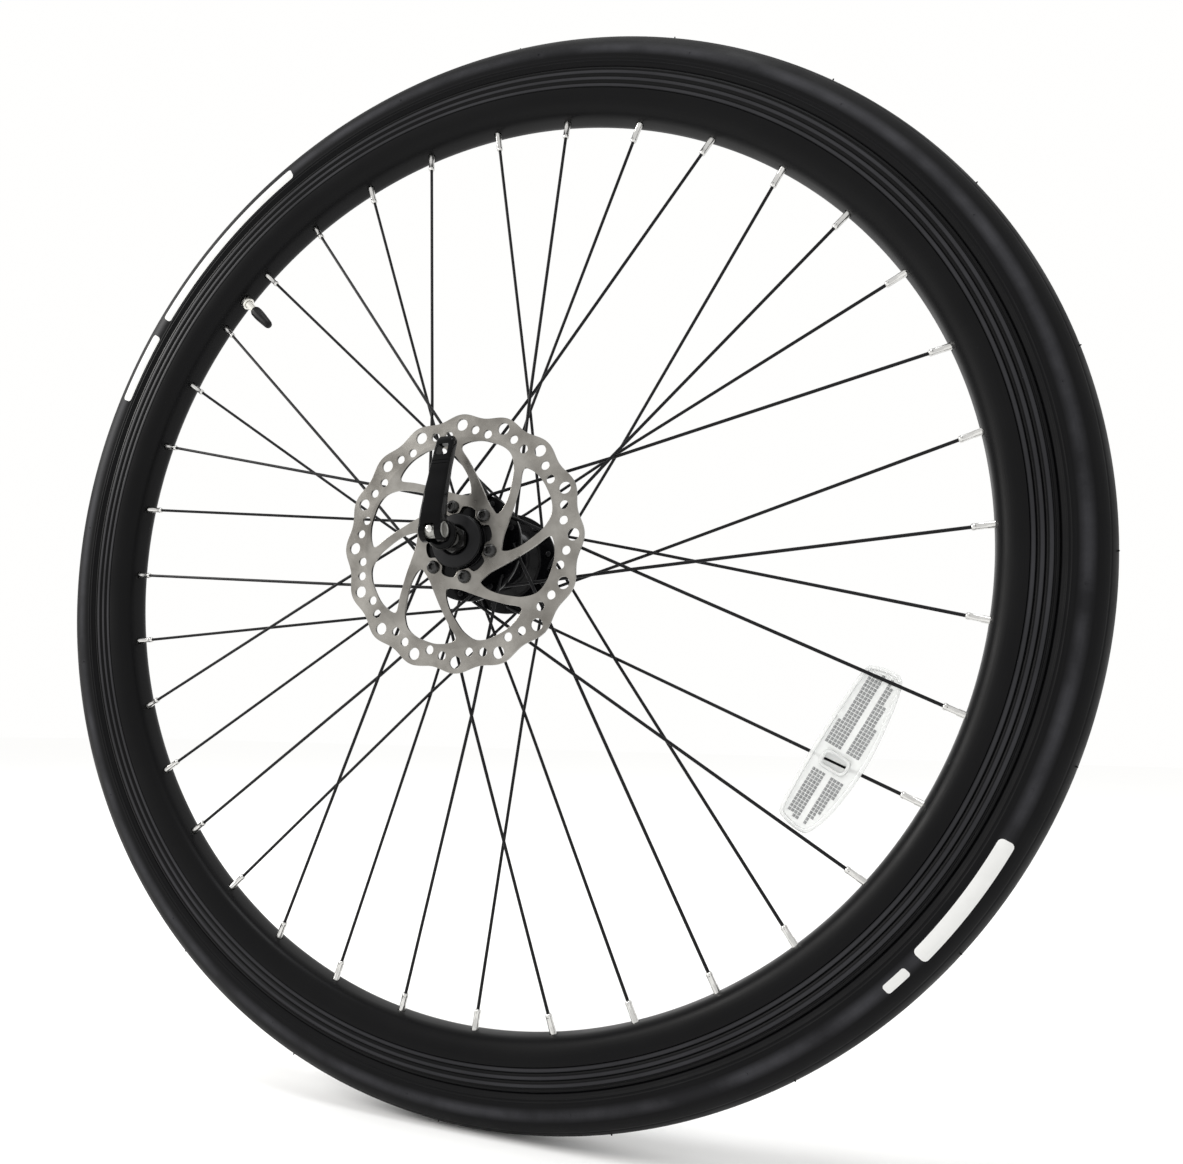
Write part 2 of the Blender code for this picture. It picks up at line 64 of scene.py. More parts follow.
# Bicycle front wheel: the looks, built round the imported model.
# Wheel centre at the origin, axle along Y, brake rotor and lever on -Y, +Z up.
# Sizes are millimetres, scaled to metres by MM.
MM = 0.001
TURN = 360

# ---- camera ----
CAMERA_PLACE = (0.24421, -0.52952, -0.11291)
CAMERA_RIGHT = (0.92287, 0.38451, 0.02137)
CAMERA_UP = (0.02879, -0.12421, 0.99184)
CAMERA_BACK = (0.38403, -0.91472, -0.12570)
CAMERA_LENS = 28.131
CAMERA_SENSOR = 36.0
CAMERA_SHIFT = (0.0628, 0.0283)

# ---- tyre and rim ----
TYRE_CROWN = cad_high.x / MM - 0.1
SIDEWALL_BARS = (
    (118.5, 144.0, 0.0, 12.0), (146.5, 156.0, 0.0, 12.0), (-45.6, -43.0, 10.0, 8.0),
    (-41.5, -29.0, 8.0, 13.0))
TYRE_HALF_HEIGHT = 17.3
TYRE_HALF_WIDTH = 17.2
TYRE_LOWEST_ANGLE = -31.0
BEAD_LINE_ANGLE = -22.0
SHOULDER_LINE_ANGLE = 46.0
VENT_COUNT = 20
VENT_ANGLE = -6.2
RIM_EDGE_R = 317.7
RIM_RIDGES = (306.0, 309.9, 313.8)
VALVE_ANGLE = 135.0

# ---- spokes ----
SPOKE_COUNT = 36
SPOKE_R = 1.0
SPOKE_PITCH_R = 29.5
CROSS_ANGLE = 60.0
CROSS_FRACTION = 0.3092
NIPPLE_SEAT_R = 291.4
NIPPLE_LENGTH = 12.6
NIPPLE_R = 2.0

# ---- hub and rotor ----
FLANGE_Y = {"left": -24.0, "right": 36.0}
FLANGE_HALF = 1.4
FLANGE_R = 34.0
ROTOR_OUT = -41.3
ROTOR_IN = -39.5
ROTOR_LOBES = 16
ROTOR_PEAK_R = 79.2
ROTOR_WAVE = 1.45
BOLT_CIRCLE_R = 22.0
BOLT_ANGLE = 42.0
BOLT_COUNT = 6

# ---- quick release ----
CAM_Y = -73.9
CAM_R = 6.6
CAM_OFFSET = 0.8
BARREL_R = 4.6
LEVER_HALF = 7.0
SPRING_TURNS = 3.5
SPRING_WIRE = 0.55

# ---- reflector ----
REFLECTOR_ANGLE = -31.0

# ---- stage: a light is its place, size, power and colour ----
FLOOR_HALF_SIZE = 12.0
SURROUND_COLOR = (1.0, 0.997, 0.99, 1.0)
SURROUND_STRENGTH = 1.0
KEY_LIGHT = ((-2.2, -1.1, 1.2), 1.0, 42.0, (1.0, 0.985, 0.96))
TOP_LIGHT = ((0.3, -0.7, 2.4), 0.8, 16.0, (0.97, 0.985, 1.0))


# ================================================================ geometry helpers
def polar(radius, degrees, y=0.0):
    a = math.radians(degrees)
    return Vector((radius * math.cos(a), y, radius * math.sin(a)))


def aimed(origin, direction):
    """Matrix that takes local +Y to the direction and the local origin to the point."""
    turn = Vector(direction).to_track_quat("Y", "Z")
    return Matrix.Translation(Vector(origin)) @ turn.to_matrix().to_4x4()


def filleted(points, fillet, steps=3, closed=True):
    """Profile with every corner rounded; a point may carry its own fillet as a third value."""
    made = []
    count = len(points)
    for i, point in enumerate(points):
        corner = Vector(point[:2])
        if not closed and i in (0, count - 1):
            made.append(corner)
            continue
        before = Vector(points[i - 1][:2]) - corner
        after = Vector(points[(i + 1) % count][:2]) - corner
        size = point[2] if len(point) > 2 else fillet
        size = min(size, 0.45 * before.length, 0.45 * after.length)
        if size < 0.01:
            made.append(corner)
            continue
        start = corner + before.normalized() * size
        end = corner + after.normalized() * size
        for s in range(steps + 1):
            t = s / steps
            made.append(start.lerp(corner, t).lerp(corner.lerp(end, t), t))
    return made


def smooth_loop(points, steps):
    """Closed Catmull-Rom curve through points."""
    made = []
    count = len(points)
    for i in range(count):
        p0, p1, p2, p3 = (Vector(points[(i + k) % count]) for k in (-1, 0, 1, 2))
        for s in range(steps):
            t = s / steps
            a = p1 * 2.0 + (p2 - p0) * t
            b = (p0 * 2.0 - p1 * 5.0 + p2 * 4.0 - p3) * t * t
            c = (p1 * 3.0 - p0 - p2 * 3.0 + p3) * t * t * t
            made.append((a + b + c) * 0.5)
    return made


def bridge(bm, ring_a, ring_b):
    """Faces between two rings, either of which may be a single point."""
    n = max(len(ring_a), len(ring_b))
    for k in range(n):
        k2 = (k + 1) % n
        if len(ring_a) == 1:
            bm.faces.new((ring_a[0], ring_b[k2], ring_b[k]))
        elif len(ring_b) == 1:
            bm.faces.new((ring_a[k], ring_a[k2], ring_b[0]))
        else:
            bm.faces.new((ring_a[k], ring_a[k2], ring_b[k2], ring_b[k]))


def revolve(bm, profile, segments, place=None, closed=True, phase=0.0):
    """Profile of (radius, y) turned round local Y; an open profile starts and ends on the axis."""
    place = place or Matrix.Identity(4)
    rings = []
    for radius, y in profile:
        if radius < 1e-6:
            rings.append([bm.verts.new((place @ Vector((0, y, 0))) * MM)])
            continue
        ring = []
        for k in range(segments):
            spot = polar(radius, phase + TURN * k / segments, y)
            ring.append(bm.verts.new((place @ spot) * MM))
        rings.append(ring)
    for a, b in zip(rings, rings[1:]):
        bridge(bm, a, b)
    if closed:
        bridge(bm, rings[-1], rings[0])
    return bm


def loft(bm, rings):
    """Closed skin over rings of points, capped flat at both ends."""
    made = [[bm.verts.new(Vector(p) * MM) for p in ring] for ring in rings]
    for a, b in zip(made, made[1:]):
        bridge(bm, a, b)
    bm.faces.new(list(reversed(made[0])))
    bm.faces.new(made[-1])
    return bm


def prism(bm, outline, sweep):
    """Outline of points swept by a vector."""
    sweep = Vector(sweep)
    return loft(bm, [outline, [Vector(p) + sweep for p in outline]])


def circle(centre, axis, radius, sides, phase=0.0):
    axis = Vector(axis).normalized()
    start = Vector((0, 1, 0)) if abs(axis.y) < 0.9 else Vector((1, 0, 0))
    e1 = (start - axis * start.dot(axis)).normalized()
    e2 = axis.cross(e1)
    points = []
    for k in range(sides):
        a = math.radians(phase + TURN * k / sides)
        points.append(Vector(centre) + (e1 * math.cos(a) + e2 * math.sin(a)) * radius)
    return points


def rounded_path(points, radius, steps):
    """Path whose inner corners are turned into short curves."""
    points = [Vector(p) for p in points]
    made = [points[0]]
    for before, corner, after in zip(points, points[1:], points[2:]):
        size = min(radius, 0.45 * (before - corner).length, 0.45 * (after - corner).length)
        start = corner + (before - corner).normalized() * size
        end = corner + (after - corner).normalized() * size
        for s in range(steps + 1):
            t = s / steps
            made.append(start.lerp(corner, t).lerp(corner.lerp(end, t), t))
    made.append(points[-1])
    return made


def sweep(bm, points, radius, sides):
    """Round wire along points."""
    axis = (points[1] - points[0]).normalized()
    side = Vector((0, 1, 0)) if abs(axis.y) < 0.9 else Vector((1, 0, 0))
    rings = []
    for i, point in enumerate(points):
        ahead = points[min(i + 1, len(points) - 1)]
        behind = points[max(i - 1, 0)]
        axis = (ahead - behind).normalized()
        side = (side - axis * side.dot(axis)).normalized()
        across = axis.cross(side)
        ring = []
        for k in range(sides):
            a = 2.0 * math.pi * k / sides
            ring.append(point + (side * math.cos(a) + across * math.sin(a)) * radius)
        rings.append(ring)
    return loft(bm, rings)


def solid(name, bm):
    """Object made from the bmesh, with its normals facing out."""
    bmesh.ops.recalc_face_normals(bm, faces=bm.faces)
    mesh = bpy.data.meshes.new(name)
    bm.to_mesh(mesh)
    bm.free()
    ob = bpy.data.objects.new(name, mesh)
    bpy.context.scene.collection.objects.link(ob)
    return ob


def combine(ob, bm, operation="DIFFERENCE"):
    """Applies one Boolean with the solid in bm."""
    tool = solid(ob.name + "_tool", bm)
    mod = ob.modifiers.new("combine", "BOOLEAN")
    mod.operation = operation
    mod.solver = "EXACT"
    mod.object = tool
    evaluated = ob.evaluated_get(bpy.context.evaluated_depsgraph_get())
    mesh = bpy.data.meshes.new_from_object(evaluated)
    ob.modifiers.remove(mod)
    old = ob.data
    ob.data = mesh
    bpy.data.meshes.remove(old)
    bpy.data.objects.remove(tool, do_unlink=True)
    return ob


def finish_piece(ob, material, body, nodes=(), sharp=32.0):
    """Shades the piece, paints it in its first material slot, ties it to its body and hides the CAD nodes
    it replaces.
    """
    ob.data.shade_smooth()
    ob.data.set_sharp_from_angle(angle=math.radians(sharp))
    if not ob.data.materials:
        ob.data.materials.append(material)
    ob.data.materials[0] = material
    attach(ob, body)
    if nodes:
        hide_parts(*nodes)
    return ob


# ================================================================ materials
class Surface:
    """A Principled material and short calls that wire procedural detail into it."""

    def __init__(self, name, color, roughness, metallic=0.0, **sockets):
        self.mat = bpy.data.materials.new(name)
        self.mat.use_nodes = True
        self.tree = self.mat.node_tree
        self.bsdf = self.tree.nodes["Principled BSDF"]
        self.bsdf.inputs["Base Color"].default_value = (*color, 1.0)
        self.bsdf.inputs["Roughness"].default_value = roughness
        self.bsdf.inputs["Metallic"].default_value = metallic
        for socket, value in sockets.items():
            self.bsdf.inputs[socket.replace("_", " ")].default_value = value
        self.place = self.node("ShaderNodeTexCoord").outputs["Object"]
        self.bump_in = None

    def node(self, kind, **settings):
        made = self.tree.nodes.new(kind)
        for key, value in settings.items():
            setattr(made, key, value)
        return made

    def link(self, a, b):
        self.tree.links.new(a, b)

    def math(self, operation, a, b=None):
        made = self.node("ShaderNodeMath", operation=operation)
        for index, value in enumerate((a, b)):
            if value is None:
                continue
            if isinstance(value, (int, float)):
                made.inputs[index].default_value = value
            else:
                self.link(value, made.inputs[index])
        return made.outputs[0]

    def radius_angle(self):
        """Distance from the axle line and angle round it."""
        parts = self.node("ShaderNodeSeparateXYZ")
        self.link(self.place, parts.inputs[0])
        x, z = parts.outputs["X"], parts.outputs["Z"]
        square = self.math("ADD", self.math("MULTIPLY", x, x), self.math("MULTIPLY", z, z))
        return self.math("SQRT", square), self.math("ARCTAN2", z, x)

    def turned_place(self, per_radius, per_turn):
        """Coordinates that run along rings round the axle, for lathe and ground marks."""
        radius, angle = self.radius_angle()
        made = self.node("ShaderNodeCombineXYZ")
        self.link(self.math("MULTIPLY", radius, per_radius), made.inputs[0])
        self.link(self.math("MULTIPLY", self.math("SINE", angle), per_turn), made.inputs[1])
        self.link(self.math("MULTIPLY", self.math("COSINE", angle), per_turn), made.inputs[2])
        return made.outputs[0]

    def noise(self, scale, detail=5.0, rough=0.55, place=None):
        made = self.node("ShaderNodeTexNoise")
        made.inputs["Scale"].default_value = scale
        made.inputs["Detail"].default_value = detail
        made.inputs["Roughness"].default_value = rough
        self.link(place or self.place, made.inputs["Vector"])
        return made.outputs["Fac"]

    def spread(self, value, low, high, to_low, to_high):
        made = self.node("ShaderNodeMapRange")
        for key, number in (("From Min", low), ("From Max", high), ("To Min", to_low), ("To Max", to_high)):
            made.inputs[key].default_value = number
        self.link(value, made.inputs["Value"])
        return made.outputs["Result"]

    def band(self, value, centre, half, soft):
        """1 where value is within half of the centre, falling to 0 over the soft width."""
        away = self.math("ABSOLUTE", self.math("SUBTRACT", value, centre))
        return self.spread(away, half, half + soft, 1.0, 0.0)

    def mix(self, amount, first, second):
        made = self.node("ShaderNodeMix", data_type="RGBA")
        self.link(amount, made.inputs["Factor"])
        for key, value in ((6, first), (7, second)):
            if isinstance(value, tuple):
                made.inputs[key].default_value = (*value, 1.0)
            else:
                self.link(value, made.inputs[key])
        return made.outputs[2]

    def color(self, value):
        self.link(value, self.bsdf.inputs["Base Color"])

    def roughness(self, value):
        self.link(value, self.bsdf.inputs["Roughness"])

    def bump(self, height, depth, strength=1.0):
        """Adds relief of the given depth in millimetres on top of any before it."""
        made = self.node("ShaderNodeBump")
        made.inputs["Strength"].default_value = strength
        made.inputs["Distance"].default_value = depth * MM
        self.link(height, made.inputs["Height"])
        if self.bump_in is not None:
            self.link(self.bump_in, made.inputs["Normal"])
        self.bump_in = made.outputs["Normal"]
        self.link(self.bump_in, self.bsdf.inputs["Normal"])


def simple_surface(name, dark, light, rough, metallic, scale, grain, depth, **sockets):
    """Colour and roughness that vary softly, with a fine grain on top."""
    made = Surface(name, dark, rough[0], metallic, **sockets)
    cloud = made.noise(scale)
    made.color(made.mix(cloud, dark, light))
    made.roughness(made.spread(cloud, 0.25, 0.75, rough[0], rough[1]))
    made.bump(made.noise(grain, 3.0), depth)
    return made.mat


def rubber_surface():
    made = Surface("tyre_rubber", (0.012, 0.012, 0.013), 0.6, Specular_IOR_Level=0.08)
    radius, _ = made.radius_angle()
    cloud = made.noise(22.0, 6.0, 0.6)
    streak = made.noise(9.0, 5.0, 0.6, made.turned_place(260.0, 1.2))
    # Lighter ring round the sidewall near 329 mm radius: a painted sheen band where the bulge catches the
    # light, blotched by noise as dust bloom.
    sheen_band = made.band(radius, 0.3292, 0.0009, 0.0034)
    dust_and_sheen = made.math("MULTIPLY", sheen_band, made.spread(cloud, 0.35, 0.65, 0.25, 1.0))
    base = made.mix(streak, (0.0015, 0.0015, 0.0018), (0.005, 0.005, 0.0056))
    made.color(made.mix(dust_and_sheen, base, (0.034, 0.034, 0.038)))
    made.roughness(made.spread(cloud, 0.3, 0.7, 0.42, 0.6))
    made.bump(made.noise(420.0, 6.0), 0.05)
    made.bump(made.noise(2600.0, 2.0), 0.02)
    return made.mat


def rim_surface():
    made = Surface("black_anodised", (0.01, 0.01, 0.011), 0.4, Specular_IOR_Level=0.1)
    radius, _ = made.radius_angle()
    cloud = made.noise(16.0, 6.0, 0.6)
    streak = made.noise(10.0, 6.0, 0.6, made.turned_place(380.0, 0.8))
    base = made.mix(streak, (0.001, 0.001, 0.0012), (0.0035, 0.0035, 0.004))
    # The three rim ridges are painted lighter than the rim: a painted highlight where their rounded tops
    # catch the light, blotched by noise.
    ridge_highlight = None
    for ridge in RIM_RIDGES:
        line = made.band(radius, ridge * MM, 0.0006, 0.0005)
        ridge_highlight = line if ridge_highlight is None else made.math("ADD", ridge_highlight, line)
    ridge_highlight = made.math("MULTIPLY", ridge_highlight, made.spread(cloud, 0.3, 0.7, 0.55, 1.0))
    made.color(made.mix(ridge_highlight, base, (0.028, 0.028, 0.031)))
    made.roughness(made.spread(cloud, 0.3, 0.7, 0.3, 0.45))
    made.bump(made.noise(1500.0, 4.0), 0.018)
    made.bump(streak, 0.03)
    return made.mat


def rotor_surface():
    made = Surface("ground_stainless", (0.6, 0.58, 0.55), 0.3, 1.0)
    radius, _ = made.radius_angle()
    fine = made.noise(40.0, 8.0, 0.7, made.turned_place(420.0, 2.4))
    cloud = made.noise(45.0, 5.0)
    swirl = made.noise(900.0, 4.0)
    track = made.band(radius, 0.0715, 0.0065, 0.001)
    lines = made.math("MULTIPLY", fine, track)
    made.color(made.mix(made.spread(cloud, 0.3, 0.7, 0.0, 1.0), (0.17, 0.16, 0.145), (0.33, 0.318, 0.295)))
    made.roughness(made.spread(made.math("ADD", cloud, made.math("MULTIPLY", lines, 0.6)), 0.3, 1.1, 0.24,
            0.42))
    made.bump(lines, 0.03)
    made.bump(swirl, 0.006)
    return made.mat


def reflector_surface():
    made = Surface("clear_acrylic", (0.93, 0.94, 0.93), 0.12, Transmission_Weight=0.45, IOR=1.49)
    cloud = made.noise(60.0, 4.0)
    made.color(made.mix(cloud, (0.86, 0.87, 0.86), (0.96, 0.97, 0.96)))
    made.roughness(made.spread(cloud, 0.3, 0.7, 0.08, 0.2))
    made.bump(made.noise(700.0, 3.0), 0.015)
    return made.mat


def floor_surface():
    made = Surface("studio_paper", (0.98, 0.98, 0.975), 0.9, Specular_IOR_Level=0.0)
    cloud = made.noise(3.0, 5.0)
    made.color(made.mix(cloud, (0.975, 0.975, 0.971), (0.99, 0.99, 0.986)))
    made.bump(made.noise(300.0, 4.0), 0.05)
    return made.mat


def make_materials():
    silver = (0.42, 0.415, 0.4)
    return {
        "rubber": rubber_surface(),
        "rim": rim_surface(),
        "rotor": rotor_surface(),
        "reflector": reflector_surface(),
        "prism": simple_surface(
            "prism_acrylic", (0.2, 0.205, 0.205), (0.42, 0.43, 0.43), (0.08, 0.2), 0.0, 500.0, 900.0, 0.01,
            Transmission_Weight=0.15, IOR=1.49),
        "mark": simple_surface(
            "sidewall_mark", (0.56, 0.56, 0.55), (0.7, 0.7, 0.69), (0.45, 0.62), 0.0, 60.0, 1500.0,
            0.03),
        "spoke": simple_surface(
            "black_spoke", (0.002, 0.002, 0.0025), (0.007, 0.007, 0.008), (0.3, 0.45), 0.0, 240.0, 3000.0,
            0.01,
            Specular_IOR_Level=0.15),
        "nipple": simple_surface(
            "plated_nipple", (0.5, 0.495, 0.48), (0.68, 0.675, 0.66), (0.14, 0.3), 1.0, 300.0, 2600.0,
            0.008),
        "hub": simple_surface(
            "gloss_black_hub", (0.001, 0.001, 0.0012), (0.003, 0.003, 0.0036), (0.12, 0.26), 0.0, 120.0,
            2200.0, 0.008,
            Specular_IOR_Level=0.14),
        "black_steel": simple_surface(
            "black_oxide", (0.004, 0.004, 0.004), (0.012, 0.0115, 0.011), (0.26, 0.4), 0.0, 300.0, 2400.0,
            0.01),
        "lever": simple_surface(
            "gloss_black_lever", (0.0008, 0.0008, 0.001), (0.002, 0.002, 0.0024), (0.08, 0.18), 0.0, 160.0,
            1800.0, 0.006,
            Specular_IOR_Level=0.09),
        "dark_steel": simple_surface(
            "blackened_steel", (0.02, 0.0195, 0.019), (0.07, 0.069, 0.066), (0.24, 0.4), 1.0, 260.0, 2600.0,
            0.008),
        "steel": simple_surface(
            "turned_steel", silver, (0.56, 0.555, 0.54), (0.2, 0.34), 1.0, 260.0, 2600.0, 0.008),
        "grey_zinc": simple_surface(
            "zinc_grey", (0.24, 0.24, 0.23), (0.34, 0.34, 0.32), (0.3, 0.42), 1.0, 260.0, 2600.0, 0.01),
        "plated": simple_surface(
            "nickel_valve", (0.66, 0.65, 0.6), (0.8, 0.79, 0.75), (0.2, 0.34), 1.0, 400.0, 2600.0,
            0.008),
        "plastic": simple_surface(
            "black_plastic", (0.003, 0.003, 0.0035), (0.008, 0.008, 0.009), (0.36, 0.5), 0.0, 200.0, 1400.0,
            0.03,
            Specular_IOR_Level=0.16),
        "butyl": simple_surface(
            "butyl_rubber", (0.015, 0.015, 0.016), (0.03, 0.03, 0.032), (0.6, 0.75), 0.0, 60.0, 900.0,
            0.04),
        "tape": simple_surface(
            "rim_tape_cloth", (0.62, 0.55, 0.4), (0.74, 0.68, 0.52), (0.65, 0.8), 0.0, 120.0, 1600.0,
            0.05),
    }


# ================================================================ tyre and rim
def tyre_point(angle, lift=0.0):
    """(radius, y) on the tyre's outer skin on the +Y side; 90 degrees is the crown."""
    mid = TYRE_CROWN - TYRE_HALF_HEIGHT
    a = math.radians(angle)
    return Vector((mid + (TYRE_HALF_HEIGHT + lift) * math.sin(a), (TYRE_HALF_WIDTH + lift) * math.cos(a)))


def tyre_relief(angle):
    """Height of the moulded lines on the sidewall."""
    bead = 0.45 * math.exp(-((angle - BEAD_LINE_ANGLE) / 1.6) ** 2)
    second = 0.22 * math.exp(-((angle - BEAD_LINE_ANGLE - 6.0) / 1.2) ** 2)
    shoulder = -0.18 * math.exp(-((angle - SHOULDER_LINE_ANGLE) / 1.6) ** 2)
    parting = -0.12 * math.exp(-((angle - 90.0) / 1.2) ** 2)
    return bead + second + shoulder + parting


def build_tyre(paint):
    half = []
    steps = 90
    for k in range(steps + 1):
        angle = 90.0 + (TYRE_LOWEST_ANGLE - 90.0) * k / steps
        half.append(tyre_point(angle, tyre_relief(angle)))
    half[0].y = 0.0
    half += [Vector(p) for p in (
        (317.5, 13.0), (314.5, 12.7), (311.7, 12.6), (311.6, 10.2), (318.0, 11.9), (324.0, 13.6),
        (329.0, 14.0),
        (334.0, 12.9), (338.5, 9.6), (341.4, 4.6), (342.2, 0.0))]
    loop = half + [Vector((p.x, -p.y)) for p in reversed(half[1:-1])]
    bm = revolve(bmesh.new(), loop, TURN)
    for k in range(VENT_COUNT):
        angle = VENT_ANGLE + TURN * k / VENT_COUNT
        add_vents(bm, angle)
    tyre = solid("tyre_casing", bm)
    finish_piece(tyre, paint["rubber"], "wheel", ("tyre",))


def add_vents(bm, angle):
    """Small stubs of rubber left by the mould's vents, on the crown and both shoulders."""
    for skin_angle, height, side, turn in ((76.0, 1.0, 1, 0.0), (64.0, 0.9, -1, 3.1), (4.5, 0.5, -1, 0.0),
            (4.5, 0.5, 1, 0.0)):
        if any(first - 1.0 < (angle + turn + 90.0) % TURN - 90.0 < last + 1.0
               and abs(skin_angle - middle) < half + 2.0
               for first, last, middle, half in SIDEWALL_BARS):
            continue
        low = tyre_point(skin_angle, -0.6)
        high = tyre_point(skin_angle, height)
        start = polar(low.x, angle + turn, low.y * side)
        end = polar(high.x, angle + turn, high.y * side)
        bm_place = aimed(start, end - start)
        length = (end - start).length
        profile = [(0.0, 0.0), (0.5, 0.0), (0.42, length * 0.8), (0.28, length), (0.0, length)]
        revolve(bm, profile, 8, bm_place, closed=False)


def build_marks(paint):
    """Plain pale bars with round ends on both sidewalls."""
    number = 1
    for side in (-1.0, 1.0):
        for first, last, skin_angle, half_width in SIDEWALL_BARS:
            middle = tyre_point(skin_angle)
            half_height = math.radians(half_width) * TYRE_HALF_HEIGHT
            half_length = math.radians(abs(last - first)) / 2 * middle.x
            corner = min(half_height, half_length) * 0.6
            steps = max(16, int(half_length / 1.2))
            rings = []
            for k in range(steps + 1):
                along = half_length * math.sin(math.pi / 2 * (2 * k / steps - 1))
                past = max(0.0, abs(along) - (half_length - corner)) / corner
                height = half_height - corner + corner * math.sqrt(max(0.02, 1.0 - past * past))
                width = half_width * height / half_height
                turn = (first + last) / 2 + math.degrees(along / middle.x)
                outer, inner = [], []
                for s in range(7):
                    a = skin_angle + width * (s / 3.0 - 1.0)
                    for lift, row in ((0.16, outer), (-0.3, inner)):
                        spot = tyre_point(a, lift)
                        row.append(polar(spot.x, turn, side * spot.y))
                rings.append(outer + list(reversed(inner)))
            bm = bmesh.new()
            loft(bm, rings)
            bar = solid("sidewall_bar_%d" % number, bm)
            finish_piece(bar, paint["mark"], "wheel", ())
            number += 1


def rim_half_profile():
    """(radius, y) from the middle of the inner face, round the side, to the middle of the tyre bed."""
    profile = [(290.3, 0.0), (290.3, 3.6), (290.7, 6.2), (291.6, 8.2), (293.0, 9.9), (295.0, 11.3),
            (297.6, 12.6),
            (300.4, 13.55), (303.2, 14.2), (304.4, 14.35)]
    for ridge in RIM_RIDGES:
        base = 14.35 + (ridge - 304.4) * 0.175
        profile += [(ridge - 1.45, base - 0.75), (ridge - 1.0, base), (ridge, base + 0.12),
                (ridge + 1.0, base),
                (ridge + 1.45, base - 0.75)]
    profile += [(315.9, 15.2), (316.3, 15.55), (317.2, 15.4), (RIM_EDGE_R, 14.8), (RIM_EDGE_R, 13.7),
            (317.2, 13.2),
            (315.0, 13.3), (311.3, 13.2), (311.0, 10.4), (306.6, 7.8), (306.0, 6.6), (306.0, 0.0)]
    return profile


def build_rim(paint):
    half = rim_half_profile()
    loop = half + [(r, -y) for r, y in reversed(half[1:-1])]
    rim = solid("rim_hoop", revolve(bmesh.new(), loop, TURN))
    holes = bmesh.new()
    for k in range(SPOKE_COUNT):
        axis = polar(1.0, 10.0 * k)
        prism(holes, circle(axis * 286.0, axis, 2.55, 16), axis * 9.0)
    axis = polar(1.0, VALVE_ANGLE)
    prism(holes, circle(axis * 286.0, axis, 3.4, 20), axis * 24.0)
    combine(rim, holes)
    finish_piece(rim, paint["rim"], "wheel", ("rim",))


# ================================================================ spokes
def spoke_points(index):
    """Head, elbow, crossing and rim seat of the spoke that ends at rim angle 10 * index degrees."""
    side = "left" if index % 2 == 0 else "right"
    out = -1.0 if side == "left" else 1.0
    elbow_inside = index % 4 < 2
    facing = -1.0 if elbow_inside else 1.0
    rim_angle = 10.0 * index
    hub_angle = rim_angle - CROSS_ANGLE if elbow_inside else rim_angle + CROSS_ANGLE
    flange_y = FLANGE_Y[side]
    hole = polar(SPOKE_PITCH_R, hub_angle)
    seat = polar(NIPPLE_SEAT_R, rim_angle)
    crossing = hole.lerp(seat, CROSS_FRACTION)
    crossing.y = flange_y * (1.0 - CROSS_FRACTION) - facing * out * 0.9
    elbow = Vector((hole.x, flange_y + facing * out * 2.8, hole.z))
    head = Vector((hole.x, flange_y - facing * out * 1.6, hole.z))
    path = [head, elbow, crossing, seat]
    if not elbow_inside:
        level = Vector((crossing.x - elbow.x, 0, crossing.z - elbow.z)).normalized()
        path.insert(2, elbow + level * 11.0)
    return path, -facing * out


def nipple_rings(base, run):
    """Sections of a nipple along the spoke: round mouth, square wrench flats, round barrel."""
    sections = (
        (0.0, 1.35, 0.0), (0.35, 1.75, 0.0), (0.9, NIPPLE_R, 0.0), (1.8, NIPPLE_R, 0.0),
        (2.3, NIPPLE_R, 1.0),
        (7.2, NIPPLE_R, 1.0), (7.8, NIPPLE_R, 0.0), (13.2, NIPPLE_R, 0.0), (14.4, 2.4, 0.0),
        (15.0, 2.45, 0.0))
    side = Vector((0, 1, 0))
    side = (side - run * side.dot(run)).normalized()
    across = run.cross(side)
    rings = []
    for t, radius, square in sections:
        ring = []
        for k in range(24):
            a = 2.0 * math.pi * k / 24
            r = radius
            if square:
                flat = 1.62 / max(abs(math.cos(a)), abs(math.sin(a)))
                r = min(radius, flat)
            ring.append(base + run * t + (side * math.cos(a) + across * math.sin(a)) * r)
        rings.append(ring)
    return rings


def build_spokes(paint):
    number = 1
    for index in range(SPOKE_COUNT):
        if index % 4 > 1:
            continue
        wires = bmesh.new()
        nipples = bmesh.new()
        for spoke in (index, (index - 2) % SPOKE_COUNT):
            path, head_way = spoke_points(spoke)
            run = (path[-1] - path[-2]).normalized()
            shaft_end = path[-1] - run * (NIPPLE_LENGTH - 3.0)
            sweep(wires, rounded_path(path[:-1] + [shaft_end], 2.7, 7), SPOKE_R, 14)
            cap = aimed(path[0], (0, head_way, 0))
            revolve(wires, [(0.0, -0.4), (1.0, -0.4), (1.8, 0.35), (1.85, 0.75), (1.3, 1.25), (0.0, 1.4)],
                    16, cap,
                    closed=False)
            loft(nipples, nipple_rings(path[-1] - run * NIPPLE_LENGTH, run))
        node = "spoke_pair_%02d" % number
        finish_piece(solid("spokes_%02d" % number, wires), paint["spoke"], "wheel", (node,))
        finish_piece(solid("nipples_%02d" % number, nipples), paint["nipple"], "wheel", (node,))
        number += 1


